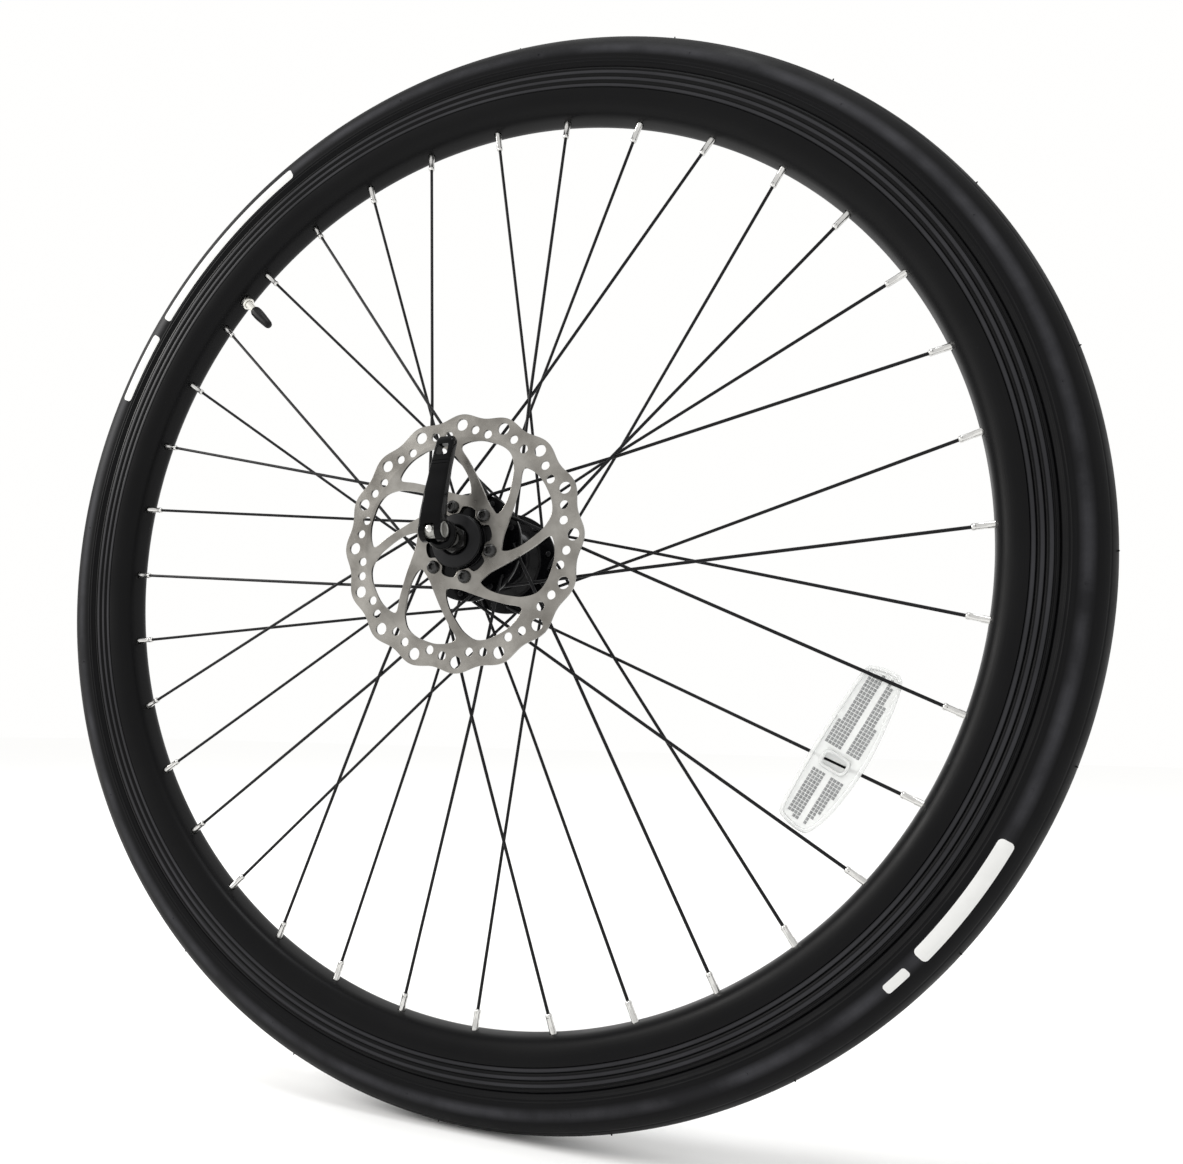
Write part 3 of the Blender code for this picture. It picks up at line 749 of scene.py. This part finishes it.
# ================================================================ hub
def build_hub(paint):
    left, right = FLANGE_Y["left"], FLANGE_Y["right"]
    half = FLANGE_HALF
    profile = filleted([
        (16.6, -44.6, 0.7), (16.6, -39.2, 0.4), (27.0, -39.2, 0.5), (27.0, -35.6, 1.2), (18.0, -33.0, 2.5),
        (17.3, left - half - 3.0, 2.0), (24.0, left - half, 2.5), (FLANGE_R, left - half, 0.7),
        (FLANGE_R, left + half, 0.7), (23.0, left + half, 2.5), (15.4, left + 8.0, 5.0), (14.5, 0.0, 8.0),
        (15.4, right - 8.0, 5.0), (23.0, right - half, 2.5), (FLANGE_R, right - half, 0.7),
        (FLANGE_R, right + half, 0.7), (22.0, right + half, 2.0), (16.6, right + 3.6, 1.0),
        (16.6, 44.6, 0.7),
        (11.9, 44.6, 0.3), (11.9, 37.8, 0.3), (7.5, 37.2), (7.5, -37.2), (11.9, -37.8, 0.3),
        (11.9, -44.6, 0.3)], 0.3, 4)
    hub = solid("hub_body", revolve(bmesh.new(), profile, 96))
    holes = bmesh.new()
    for index in range(SPOKE_COUNT):
        side = "left" if index % 2 == 0 else "right"
        centre = polar(SPOKE_PITCH_R, 10.0 * index, FLANGE_Y[side] - 3.0)
        prism(holes, circle(centre, (0, 1, 0), 1.35, 14), (0, 6.0, 0))
    for k in range(BOLT_COUNT):
        centre = polar(BOLT_CIRCLE_R, BOLT_ANGLE + 60.0 * k, -40.0)
        prism(holes, circle(centre, (0, 1, 0), 2.6, 20), (0, 8.0, 0))
    combine(hub, holes)
    grooves = bmesh.new()
    for y in (-42.6, 42.2):
        revolve(grooves, [(16.2, y - 0.35), (17.2, y - 0.6), (17.2, y + 0.6), (16.2, y + 0.35)], 96)
    combine(hub, grooves)
    finish_piece(hub, paint["hub"], "wheel", ("hub_shell",), 40.0)


def threaded(y_from, y_to, crest, root, pitch):
    """Profile points of a thread between two heights."""
    turns = max(1, int(abs(y_to - y_from) / pitch))
    step = (y_to - y_from) / turns
    points = []
    for k in range(turns):
        start = y_from + step * k
        points += [(root, start + step * 0.1), (crest, start + step * 0.5)]
    return points + [(root, y_to - step * 0.05)]


def build_axle_group(paint):
    end = 54.0
    thread_left = threaded(-end + 0.8, -46.5, 4.5, 4.15, 1.0)
    thread_right = threaded(46.5, end - 0.8, 4.5, 4.15, 1.0)
    profile = [(2.8, -end), (4.1, -end)] + thread_left + [(4.5, -45.0), (4.5, 45.0)] + thread_right
    profile += [(4.1, end), (2.8, end)]
    axle = solid("axle_tube", revolve(bmesh.new(), profile, 40))
    finish_piece(axle, paint["dark_steel"], "axle_assembly", ("axle",), 28.0)
    for side, out in (("left", -1.0), ("right", 1.0)):
        cone = filleted([(4.8, out * 37.6), (5.4, out * 37.6), (6.3, out * 40.6), (6.5, out * 43.0, 0.2),
                (6.5, out * 45.7), (4.8, out * 45.7)], 0.3)
        finish_piece(solid(side + "_bearing_cone", revolve(bmesh.new(), cone, 40)), paint["dark_steel"],
                "axle_assembly",
                (side + "_cone",))
        build_locknut(paint, side, out)
        cap = filleted([(6.9, out * 43.6), (11.5, out * 43.6), (11.5, out * 44.9), (16.2, out * 44.9, 0.4),
                (15.4, out * 45.5, 0.6), (9.6, out * 47.4, 0.8), (8.9, out * 46.6),
                (8.9, out * 45.4)], 0.25)
        finish_piece(solid(side + "_dust_seal", revolve(bmesh.new(), cap, 72)), paint["plastic"], "wheel",
                (side + "_dust_cap",))


def build_locknut(paint, side, out):
    """Six-sided locknut with turned corners and a knurled outer face."""
    body = [(4.8, out * 46.0), (7.8, out * 46.0), (8.5, out * 46.5), (8.5, out * 49.3), (7.6, out * 49.7),
            (7.2, out * 49.7), (7.2, out * 50.0), (5.4, out * 50.0), (4.8, out * 49.5)]
    nut = solid(side + "_hex_locknut", revolve(bmesh.new(), body, 48))
    hexagon = bmesh.new()
    prism(hexagon, circle((0, out * 45.0, 0), (0, 1, 0), 8.6, 6, 30.0), (0, out * 6.0, 0))
    combine(nut, hexagon, "INTERSECT")
    knurl = bmesh.new()
    for k in range(24):
        spot = polar(6.3, 15.0 * k, out * 50.1)
        along = polar(1.0, 15.0 * k)
        across = Vector((-along.z, 0, along.x))
        outline = [spot - along * 1.4 - across * 0.22, spot - along * 1.4 + across * 0.22,
                spot - along * 1.4 - Vector((0, out * 0.35, 0))]
        prism(knurl, outline, along * 2.8)
    combine(nut, knurl)
    finish_piece(nut, paint["black_steel"], "axle_assembly", (side + "_locknut",))


# ================================================================ rotor
def rotor_window():
    """One opening between two rotor arms, as (radius, angle) round its edge."""
    return [
        (29.3, -0.5), (34.3, 1.0), (41.0, 6.5), (48.8, 13.5), (55.0, 18.5), (60.6, 25.0), (62.6, 32.0),
        (62.8, 40.0), (62.6, 47.0), (61.0, 54.5), (58.0, 58.0), (50.0, 52.0), (40.6, 42.0), (34.0, 31.0),
        (29.6, 18.0), (28.6, 8.0)]


def rotor_bore(angle):
    """Radius of the centre opening, scalloped between the bolts."""
    off = abs((angle - 12.0 + 30.0) % 60.0 - 30.0)
    lobe = 1.0 / (1.0 + math.exp((off - 15.5) / 1.3))
    return 17.4 + 4.6 * lobe * (1.0 - 0.12 * (off / 14.0) ** 2)


def flat_plate(name, loops, y_mid, half, bevel):
    """Plate with holes from a filled flat curve, its edges slightly rounded."""
    curve = bpy.data.curves.new(name, "CURVE")
    curve.dimensions = "2D"
    curve.fill_mode = "BOTH"
    curve.extrude = (half - bevel) * MM
    curve.bevel_depth = bevel * MM
    curve.bevel_resolution = 1
    curve.offset = -bevel * MM
    for loop in loops:
        spline = curve.splines.new("POLY")
        spline.points.add(len(loop) - 1)
        for point, spot in zip(spline.points, loop):
            point.co = (spot.x * MM, spot.z * MM, 0.0, 1.0)
        spline.use_cyclic_u = True
    ob = bpy.data.objects.new(name + "_outline", curve)
    bpy.context.scene.collection.objects.link(ob)
    bpy.context.view_layer.update()
    mesh = bpy.data.meshes.new_from_object(ob.evaluated_get(bpy.context.evaluated_depsgraph_get()))
    bpy.data.objects.remove(ob, do_unlink=True)
    mesh.transform(Matrix.Translation((0, y_mid * MM, 0)) @ Matrix.Rotation(math.radians(90.0), 4, "X"))
    bm = bmesh.new()
    bm.from_mesh(mesh)
    bpy.data.meshes.remove(mesh)
    bmesh.ops.remove_doubles(bm, verts=bm.verts, dist=0.002 * MM)
    return solid(name, bm)


def build_rotor(paint):
    outer = []
    for k in range(ROTOR_LOBES * 20):
        a = TURN * k / (ROTOR_LOBES * 20)
        outer.append(polar(ROTOR_PEAK_R - ROTOR_WAVE + ROTOR_WAVE * math.cos(math.radians(a * ROTOR_LOBES)),
                a))
    loops = [outer, [polar(rotor_bore(2.0 * k), 2.0 * k) for k in range(180)]]
    for k in range(8):
        corner = [polar(r, 302.0 + a + 45.0 * k) for r, a in rotor_window()]
        loops.append(smooth_loop(corner, 5))
    for k in range(ROTOR_LOBES):
        base = 22.5 * k
        for radius, offset, hole_r in ((72.6, 0.0, 3.7), (67.1, 7.5, 2.7), (69.0, 15.0, 2.7)):
            loops.append(circle(polar(radius, base + offset), (0, 1, 0), hole_r, 28))
    for k in range(BOLT_COUNT):
        loops.append(circle(polar(BOLT_CIRCLE_R, BOLT_ANGLE + 60.0 * k), (0, 1, 0), 2.9, 24))
    half = (ROTOR_IN - ROTOR_OUT) / 2
    rotor = flat_plate("rotor_disc", loops, (ROTOR_IN + ROTOR_OUT) / 2, half, 0.14)
    finish_piece(rotor, paint["rotor"], "wheel", ("brake_rotor",), 18.0)


def build_bolts(paint):
    for k in range(BOLT_COUNT):
        spot = polar(BOLT_CIRCLE_R, BOLT_ANGLE + 60.0 * k)
        place = aimed(Vector((spot.x, 0, spot.z)), (0, -1, 0))
        head = filleted([(0.0, 35.2), (2.1, 35.2, 0.2), (2.45, 35.8, 0.2), (2.45, 41.55, 0.1),
                (4.0, 41.55, 0.15),
                (4.0, 42.5, 0.4), (3.1, 43.9, 0.6), (2.5, 44.1, 0.1), (0.0, 44.1)], 0.2, 3,
                closed=False)
        bolt = solid("rotor_screw_%d" % (k + 1), revolve(bmesh.new(), head, 40, place, closed=False))
        star = bmesh.new()
        outline = []
        for s in range(36):
            a = 10.0 * s
            r = 1.95 + 0.3 * math.cos(math.radians(6.0 * a))
            outline.append(Vector((spot.x, -42.3, spot.z)) + polar(r, a + 12.0 * k))
        prism(star, outline, (0, -3.0, 0))
        combine(bolt, star)
        finish_piece(bolt, paint["black_steel"], "wheel", ("rotor_bolt_%d" % (k + 1),))


# ================================================================ quick release
def build_skewer(paint):
    low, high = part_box("skewer_rod")
    start, end = low.y / MM, high.y / MM
    profile = [(0.0, start), (2.3, start), (2.5, start + 0.3), (2.5, 52.0)]
    profile += [(r, y) for r, y in threaded(53.0, end - 0.6, 2.5, 2.2, 0.8)] + [(2.0, end), (0.0, end)]
    rod = solid("skewer_shaft", revolve(bmesh.new(), profile, 32, closed=False))
    finish_piece(rod, paint["steel"], "skewer", ("skewer_rod",), 28.0)

    barrel = bmesh.new()
    along_x = aimed((0, CAM_Y, 0), (1, 0, 0))
    turned = filleted([(0.0, -7.2), (3.6, -7.2, 0.2), (3.9, -7.6, 0.2), (BARREL_R, -7.6, 0.35),
            (BARREL_R, 7.6, 0.35),
            (3.9, 7.6, 0.2), (3.6, 7.2, 0.2), (0.0, 7.2)], 0.2, 3, closed=False)
    revolve(barrel, turned, 56, along_x, closed=False)
    pin = solid("cam_pin", barrel)
    finish_piece(pin, paint["grey_zinc"], "skewer", ("cam_barrel",))
    tip = bmesh.new()
    place = aimed((0, CAM_Y, 0), (0, -1, 0))
    revolve(tip, [(0.0, 3.6), (2.3, 3.6), (2.3, 4.7), (1.9, 5.3), (1.1, 5.6), (0.0, 5.7)], 32, place,
            closed=False)
    finish_piece(solid("rod_end", tip), paint["nipple"], "skewer", ())


def build_washer(paint):
    low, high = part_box("lever_washer")
    face, back = high.y / MM, low.y / MM
    profile = filleted([(2.9, face), (8.6, face, 0.2), (9.2, face - 1.0, 0.4), (9.2, back + 2.4, 0.8),
            (7.6, back, 0.8), (2.9, back)], 0.3)
    washer = solid("lever_seat", revolve(bmesh.new(), profile, 64))
    combine(washer, clamp_teeth(face, 1.0))
    finish_piece(washer, paint["lever"], "washer", ("lever_washer",))


def clamp_teeth(y, out):
    """Radial grooves that bite into the fork."""
    teeth = bmesh.new()
    for k in range(20):
        along = polar(1.0, 18.0 * k)
        across = Vector((-along.z, 0, along.x))
        base = along * 5.0 + Vector((0, y + out * 0.05, 0))
        outline = [base - across * 0.35, base + across * 0.35, base - Vector((0, out * 0.5, 0))]
        prism(teeth, outline, along * 3.2)
    return teeth


def build_nut(paint):
    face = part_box("adjusting_nut")[0].y / MM
    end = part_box("adjusting_nut")[1].y / MM
    profile = filleted([(2.9, face), (8.6, face, 0.2), (9.2, face + 1.0, 0.4), (9.2, face + 4.0, 0.6),
            (7.4, face + 5.6, 0.8), (7.0, end - 2.4, 0.8), (5.4, end, 0.8), (2.9, end)], 0.3)
    nut = solid("skewer_nut", revolve(bmesh.new(), profile, 64))
    wings = bmesh.new()
    for a in (0.0, 180.0):
        outline = filleted([(6.0, -3.6), (6.0, 3.6), (13.4, 2.1), (13.4, -2.1)], 1.0, 4)
        along = polar(1.0, a)
        across = Vector((-along.z, 0, along.x))
        ring = [along * p.x + across * p.y + Vector((0, 67.0, 0)) for p in outline]
        prism(wings, ring, (0, 6.4, 0))
    combine(nut, wings, "UNION")
    combine(nut, clamp_teeth(face, -1.0))
    finish_piece(nut, paint["lever"], "nut", ("adjusting_nut",))


def build_springs(paint):
    for side, out, body in (("left", -1.0, "axle_assembly"), ("right", 1.0, "nut_spring")):
        low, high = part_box(side + "_spring")
        inner = min(abs(low.y), abs(high.y)) / MM + SPRING_WIRE
        outer = max(abs(low.y), abs(high.y)) / MM - SPRING_WIRE
        steps = int(SPRING_TURNS * 28)
        points = []
        for k in range(steps + 1):
            t = k / steps
            a = 2.0 * math.pi * SPRING_TURNS * t
            r = 3.9 + 4.0 * t
            y = out * (inner + (outer - inner) * t)
            points.append(Vector((r * math.cos(a), y, out * r * math.sin(a))))
        spring = solid(side + "_volute", sweep(bmesh.new(), points, SPRING_WIRE, 12))
        finish_piece(spring, paint["dark_steel"], body, (side + "_spring",))
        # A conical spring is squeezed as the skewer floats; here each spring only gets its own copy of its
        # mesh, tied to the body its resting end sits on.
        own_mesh(spring)


def lever_section(z):
    """Outer face, inner face and half width of the blade at height z."""
    stops = (
        (2.0, -79.4, -69.4, 6.9), (8.0, -79.2, -70.4, 6.8), (20.0, -76.0, -69.2, 6.6),
        (36.0, -70.8, -64.8, 6.2),
        (48.0, -66.6, -60.6, 5.9), (56.0, -63.6, -57.7, 5.7), (59.0, -62.4, -57.6, 5.4))
    for a, b in zip(stops, stops[1:]):
        if z <= b[0]:
            t = (z - a[0]) / (b[0] - a[0])
            t = t * t * (3 - 2 * t) * 0.3 + t * 0.7
            return [p + (q - p) * t for p, q in zip(a[1:], b[1:])]
    return list(stops[-1][1:])


def build_lever(paint):
    low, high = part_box("qr_lever")
    top = high.z / MM
    head_y = CAM_Y + CAM_OFFSET
    bm = bmesh.new()
    disc = filleted([(0.0, -LEVER_HALF), (CAM_R, -LEVER_HALF, 0.8), (CAM_R, LEVER_HALF, 0.8),
            (0.0, LEVER_HALF)], 0.8,
            4, closed=False)
    revolve(bm, disc, 72, aimed((0, head_y, 0), (1, 0, 0)), closed=False)
    lever = solid("release_lever", bm)
    blade = bmesh.new()
    rings = []
    heights = [2.0 + (top - 2.0) * k / 30 for k in range(31)]
    for k, z in enumerate(heights):
        y_out, y_in, half = lever_section(z)
        from_top = top - z
        pull = 0.0 if from_top > 2.0 else 0.9 * (1.0 - math.sqrt(max(0.0,
                1.0 - ((2.0 - from_top) / 2.0) ** 2)))
        half -= pull
        y_out += pull
        y_in -= pull * 0.6
        middle = (y_out + y_in) / 2
        ring = []
        outline = filleted([(-half, y_out, 1.5), (half, y_out, 1.5), (half, y_in, 0.8), (-half, y_in, 0.8)],
                1.0, 5)
        for p in outline:
            crown = 0.35 * (1.0 - (p.x / half) ** 2) if p.y < middle else 0.0
            ring.append(Vector((p.x, max(p.y - crown, low.y / MM + 0.05), z)))
        rings.append(ring)
    loft(blade, rings)
    combine(lever, blade, "UNION")
    cuts = bmesh.new()
    prism(cuts, circle((-12.0, CAM_Y, 0), (1, 0, 0), BARREL_R + 0.25, 48), (24.0, 0, 0))
    combine(lever, cuts)
    cuts = bmesh.new()
    slot = filleted([(-3.2, -12.0), (3.2, -12.0), (3.2, 3.0, 1.4), (-3.2, 3.0, 1.4)], 0.2, 4)
    prism(cuts, [Vector((p.x, CAM_Y - 12.0, p.y)) for p in slot], (0, 24.0, 0))
    combine(lever, cuts)
    cuts = bmesh.new()
    window = filleted([(-3.6, 46.6), (3.6, 46.6), (3.3, 53.8), (-3.3, 53.8)], 1.4, 5)
    prism(cuts, [Vector((p.x, -80.0, p.y)) for p in window], (0, 40.0, 0))
    combine(lever, cuts)
    cuts = bmesh.new()
    for z in (40.6, 42.8):
        y_out = lever_section(z)[0]
        sheet = [Vector((-9.0, y_out - 1.2, z - 0.35)), Vector((-9.0, y_out - 1.2, z + 0.35)),
                Vector((-9.0, y_out + 0.35, z + 0.1)), Vector((-9.0, y_out + 0.35, z - 0.1))]
        prism(cuts, sheet, (18.0, 0, 0))
    combine(lever, cuts)
    finish_piece(lever, paint["lever"], "lever", ("qr_lever",), 38.0)


# ================================================================ valve
def build_valve(paint):
    axis = polar(1.0, VALVE_ANGLE)
    place = aimed((0, 0, 0), axis)
    stem = [(1.5, 266.0), (2.2, 266.0)] + threaded(266.6, 300.0, 2.7, 2.4, 0.9)
    stem += [(2.7, 300.6), (2.7, 308.0), (3.1, 308.0), (3.1, 308.8), (1.5, 308.8)]
    finish_piece(solid("valve_tube", revolve(bmesh.new(), stem, 32, place)), paint["plated"], "wheel",
            ("valve_stem",), 28.0)
    ring = filleted([(3.05, 285.9), (4.0, 285.8, 0.3), (4.6, 286.5, 0.3), (4.6, 289.2, 0.3),
            (4.2, 289.85, 0.2),
            (3.05, 289.85)], 0.2)
    nut = solid("valve_collar", revolve(bmesh.new(), ring, 60, place))
    knurl = bmesh.new()
    side = Vector((0, 1, 0))
    across = axis.cross(side)
    for k in range(20):
        a = math.radians(18.0 * k)
        out = side * math.cos(a) + across * math.sin(a)
        prism(knurl, circle(axis * 285.0 + out * 4.85, axis, 0.42, 8), axis * 6.0)
    combine(nut, knurl)
    finish_piece(nut, paint["plated"], "wheel", ("valve_ring",))
    pin = filleted([(0.0, 262.6), (1.2, 262.6, 0.2), (1.3, 263.0, 0.2), (1.3, 264.8, 0.2),
            (0.8, 264.8, 0.1),
            (0.8, 300.0, 0.1), (0.0, 300.0)], 0.1, 2, closed=False)
    finish_piece(solid("valve_core_pin", revolve(bmesh.new(), pin, 20, place, closed=False)),
            paint["plated"], "pin",
            ("valve_pin",))
    cap = [(0.0, 257.65), (1.6, 257.75), (2.5, 258.3), (3.0, 259.4), (3.2, 261.0), (3.55, 265.0),
           (3.95, 270.0),
           (4.05, 273.5), (3.9, 276.6), (3.5, 277.5), (3.1, 277.5), (3.0, 265.4), (2.0, 265.0),
           (2.0, 259.8), (0.0, 259.6)]
    bm = bmesh.new()
    revolve(bm, cap, 60, place, closed=False)
    for vert in bm.verts:
        spot = Vector(vert.co) / MM
        t = spot.dot(axis)
        away = spot - axis * t
        if 266.0 < t < 276.5 and away.length > 3.3:
            a = math.atan2(away.dot(across), away.dot(side))
            vert.co = (axis * t + away * (1.0 + 0.03 * math.cos(a * 12.0))) * MM
    finish_piece(solid("valve_dust_cap", bm), paint["plastic"], "cap", ("valve_cap",))


# ================================================================ reflector
def reflector_axes():
    radial = polar(1.0, REFLECTOR_ANGLE)
    along = Vector((-radial.z, 0, radial.x))
    return radial, along


def reflector_outline(shrink):
    """Outline of the bowed bar as (along, radial), pulled in by shrink."""
    points = ((-40, 236), (-36, 231.5), (-20, 230), (8, 229.4), (36, 230), (52, 231.5), (56, 236),
            (57.5, 246), (54, 251.4), (38, 255), (8, 258), (-22, 256), (-38, 251.4), (-41.5, 246))
    corner = [Vector((float(t), float(r))) for t, r in points]
    loop = smooth_loop(corner, 6)
    count = len(loop)
    made = []
    for i, p in enumerate(loop):
        tangent = (loop[(i + 1) % count] - loop[i - 1]).normalized()
        made.append(p + Vector((-tangent.y, tangent.x)) * shrink)
    return made


def on_reflector(p, y):
    radial, along = reflector_axes()
    return radial * p.y + along * p.x + Vector((0, y, 0))


def build_reflector(paint):
    levels = ((0.5, 2.9), (0.15, 2.6), (0.0, 2.0), (0.0, -1.0), (0.2, -1.45), (0.6, -1.6), (1.7, -1.6),
            (2.1, -1.4),
            (2.3, -0.5))
    rings = [[on_reflector(p, y) for p in reflector_outline(shrink)] for shrink, y in levels]
    plate = solid("reflector_lens", loft(bmesh.new(), rings))
    slot = filleted([(-3.4, 237.4), (3.4, 237.4), (3.4, 249.4), (-3.4, 249.4)], 2.6, 6)
    hole = bmesh.new()
    prism(hole, [on_reflector(p, -4.0) for p in slot], (0, 12.0, 0))
    combine(plate, hole)
    finish_piece(plate, paint["reflector"], "wheel", ("reflector",), 25.0)
    build_prisms(paint)
    build_slot_collar(paint)
    build_clip(paint)


def inside(point, loop):
    """Whether a flat point is inside a closed loop."""
    hit = False
    count = len(loop)
    for i in range(count):
        a, b = loop[i], loop[(i + 1) % count]
        if (a.y > point.y) != (b.y > point.y):
            if point.x < (b.x - a.x) * (point.y - a.y) / (b.y - a.y) + a.x:
                hit = not hit
    return hit


def build_prisms(paint):
    """Rows of small pyramids moulded on the lens, in an inner and an outer field."""
    edge = reflector_outline(3.6)
    cells = bmesh.new()
    pitch = 2.1
    rows = [234.0 + 1.9 * k for k in range(5)] + [246.4 + 1.9 * k for k in range(5)]
    for row in rows:
        for k in range(-24, 30):
            t = pitch * k
            corner = [Vector((t + a * 0.92, row + b * 0.82)) for a,
                    b in ((-1, -1), (1, -1), (1, 1), (-1, 1))]
            if not all(inside(c, edge) for c in corner):
                continue
            if abs(t) < 6.6 and 233.0 < row < 253.0:
                continue
            base = [cells.verts.new(on_reflector(c, -0.45) * MM) for c in corner]
            tip = cells.verts.new(on_reflector(Vector((t + 0.2, row)), -1.3) * MM)
            for a in range(4):
                cells.faces.new((base[a], base[(a + 1) % 4], tip))
            cells.faces.new(list(reversed(base)))
    finish_piece(solid("reflector_prisms", cells), paint["prism"], "wheel", (), 5.0)


def build_slot_collar(paint):
    """Raised oval rim round the slot."""
    rings = []
    for grow, y in ((0.1, -0.4), (0.1, -1.6), (0.5, -1.95), (1.3, -1.95), (1.7, -1.6), (1.9, -0.4)):
        shape = filleted([(-3.5 - grow, 237.3 - grow), (3.5 + grow, 237.3 - grow),
                (3.5 + grow, 249.5 + grow),
                (-3.5 - grow, 249.5 + grow)], 2.6 + grow, 6)
        rings.append([on_reflector(p, y) for p in shape])
    bm = bmesh.new()
    made = [[bm.verts.new(p * MM) for p in ring] for ring in rings]
    for a, b in zip(made, made[1:]):
        bridge(bm, a, b)
    bridge(bm, made[-1], made[0])
    finish_piece(solid("reflector_collar", bm), paint["reflector"], "wheel", (), 40.0)


def build_clip(paint):
    """Block behind the lens that snaps over a spoke."""
    path, _ = spoke_points(33)
    start, end = path[-2], path[-1]
    run = (end - start).normalized()
    outline = filleted([(-6.5, 236.0), (6.5, 236.0), (6.5, 251.0), (-6.5, 251.0)], 1.6, 4)
    bm = bmesh.new()
    prism(bm, [on_reflector(p, 3.0) for p in outline], (0, 6.4, 0))
    clip = solid("reflector_clamp", bm)
    channel = bmesh.new()
    prism(channel, circle(start, run, SPOKE_R + 0.15, 20), end - start)
    combine(clip, channel)
    mouth = bmesh.new()
    side = Vector((0, 1, 0))
    across = run.cross(side).normalized()
    outline = [start + across * 0.7 - side * 20.0, start - across * 0.7 - side * 20.0, start - across * 0.7,
            start + across * 0.7]
    prism(mouth, outline, end - start)
    combine(clip, mouth)
    finish_piece(clip, paint["reflector"], "wheel", ("reflector_clip",), 35.0)


# ================================================================ stage
def make_camera():
    data = bpy.data.cameras.new("view_camera")
    data.sensor_width = CAMERA_SENSOR
    data.lens = CAMERA_LENS
    data.shift_x, data.shift_y = CAMERA_SHIFT
    data.clip_start = 0.01
    data.clip_end = 100.0
    camera = bpy.data.objects.new("view_camera", data)
    columns = [Vector(v).normalized() for v in (CAMERA_RIGHT, CAMERA_UP, CAMERA_BACK)]
    camera.matrix_world = Matrix.Translation(CAMERA_PLACE) @ Matrix(columns).transposed().to_4x4()
    bpy.context.scene.collection.objects.link(camera)
    bpy.context.scene.camera = camera


def make_floor(low):
    bm = bmesh.new()
    bmesh.ops.create_grid(bm, x_segments=4, y_segments=4, size=FLOOR_HALF_SIZE)
    bmesh.ops.translate(bm, verts=bm.verts, vec=(0, 0, low.z))
    floor = solid("studio_floor", bm)
    floor.data.materials.append(floor_surface())


def add_light(name, place, size, power, color):
    data = bpy.data.lights.new(name, "AREA")
    data.shape = "DISK"
    data.size = size
    data.energy = power
    data.color = color
    light = bpy.data.objects.new(name, data)
    light.location = place
    light.visible_camera = False
    light.rotation_mode = "QUATERNION"
    light.rotation_quaternion = (Vector((0, 0, 0)) - Vector(place)).to_track_quat("-Z", "Y")
    bpy.context.scene.collection.objects.link(light)


def make_light():
    scene = bpy.context.scene
    scene.view_settings.view_transform = "Standard"
    world = bpy.data.worlds.new("studio_air")
    scene.world = world
    world.use_nodes = True
    background = world.node_tree.nodes["Background"]
    background.inputs["Color"].default_value = SURROUND_COLOR
    background.inputs["Strength"].default_value = SURROUND_STRENGTH
    add_light("key_softbox", *KEY_LIGHT)
    add_light("top_softbox", *TOP_LIGHT)


# ================================================================ build
make_camera()
make_light()
make_floor(cad_low)
finishes = make_materials()
build_tyre(finishes)
build_marks(finishes)
build_rim(finishes)
build_spokes(finishes)
build_hub(finishes)
build_axle_group(finishes)
build_rotor(finishes)
build_bolts(finishes)
build_skewer(finishes)
build_washer(finishes)
build_nut(finishes)
build_springs(finishes)
build_lever(finishes)
build_valve(finishes)
build_reflector(finishes)
for node, finish in (("inner_tube", "butyl"), ("rim_tape", "tape"), ("left_ball_ring", "steel"),
        ("right_ball_ring", "steel")):
    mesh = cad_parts[node].data
    mesh.materials.clear()
    mesh.materials.append(finishes[finish])
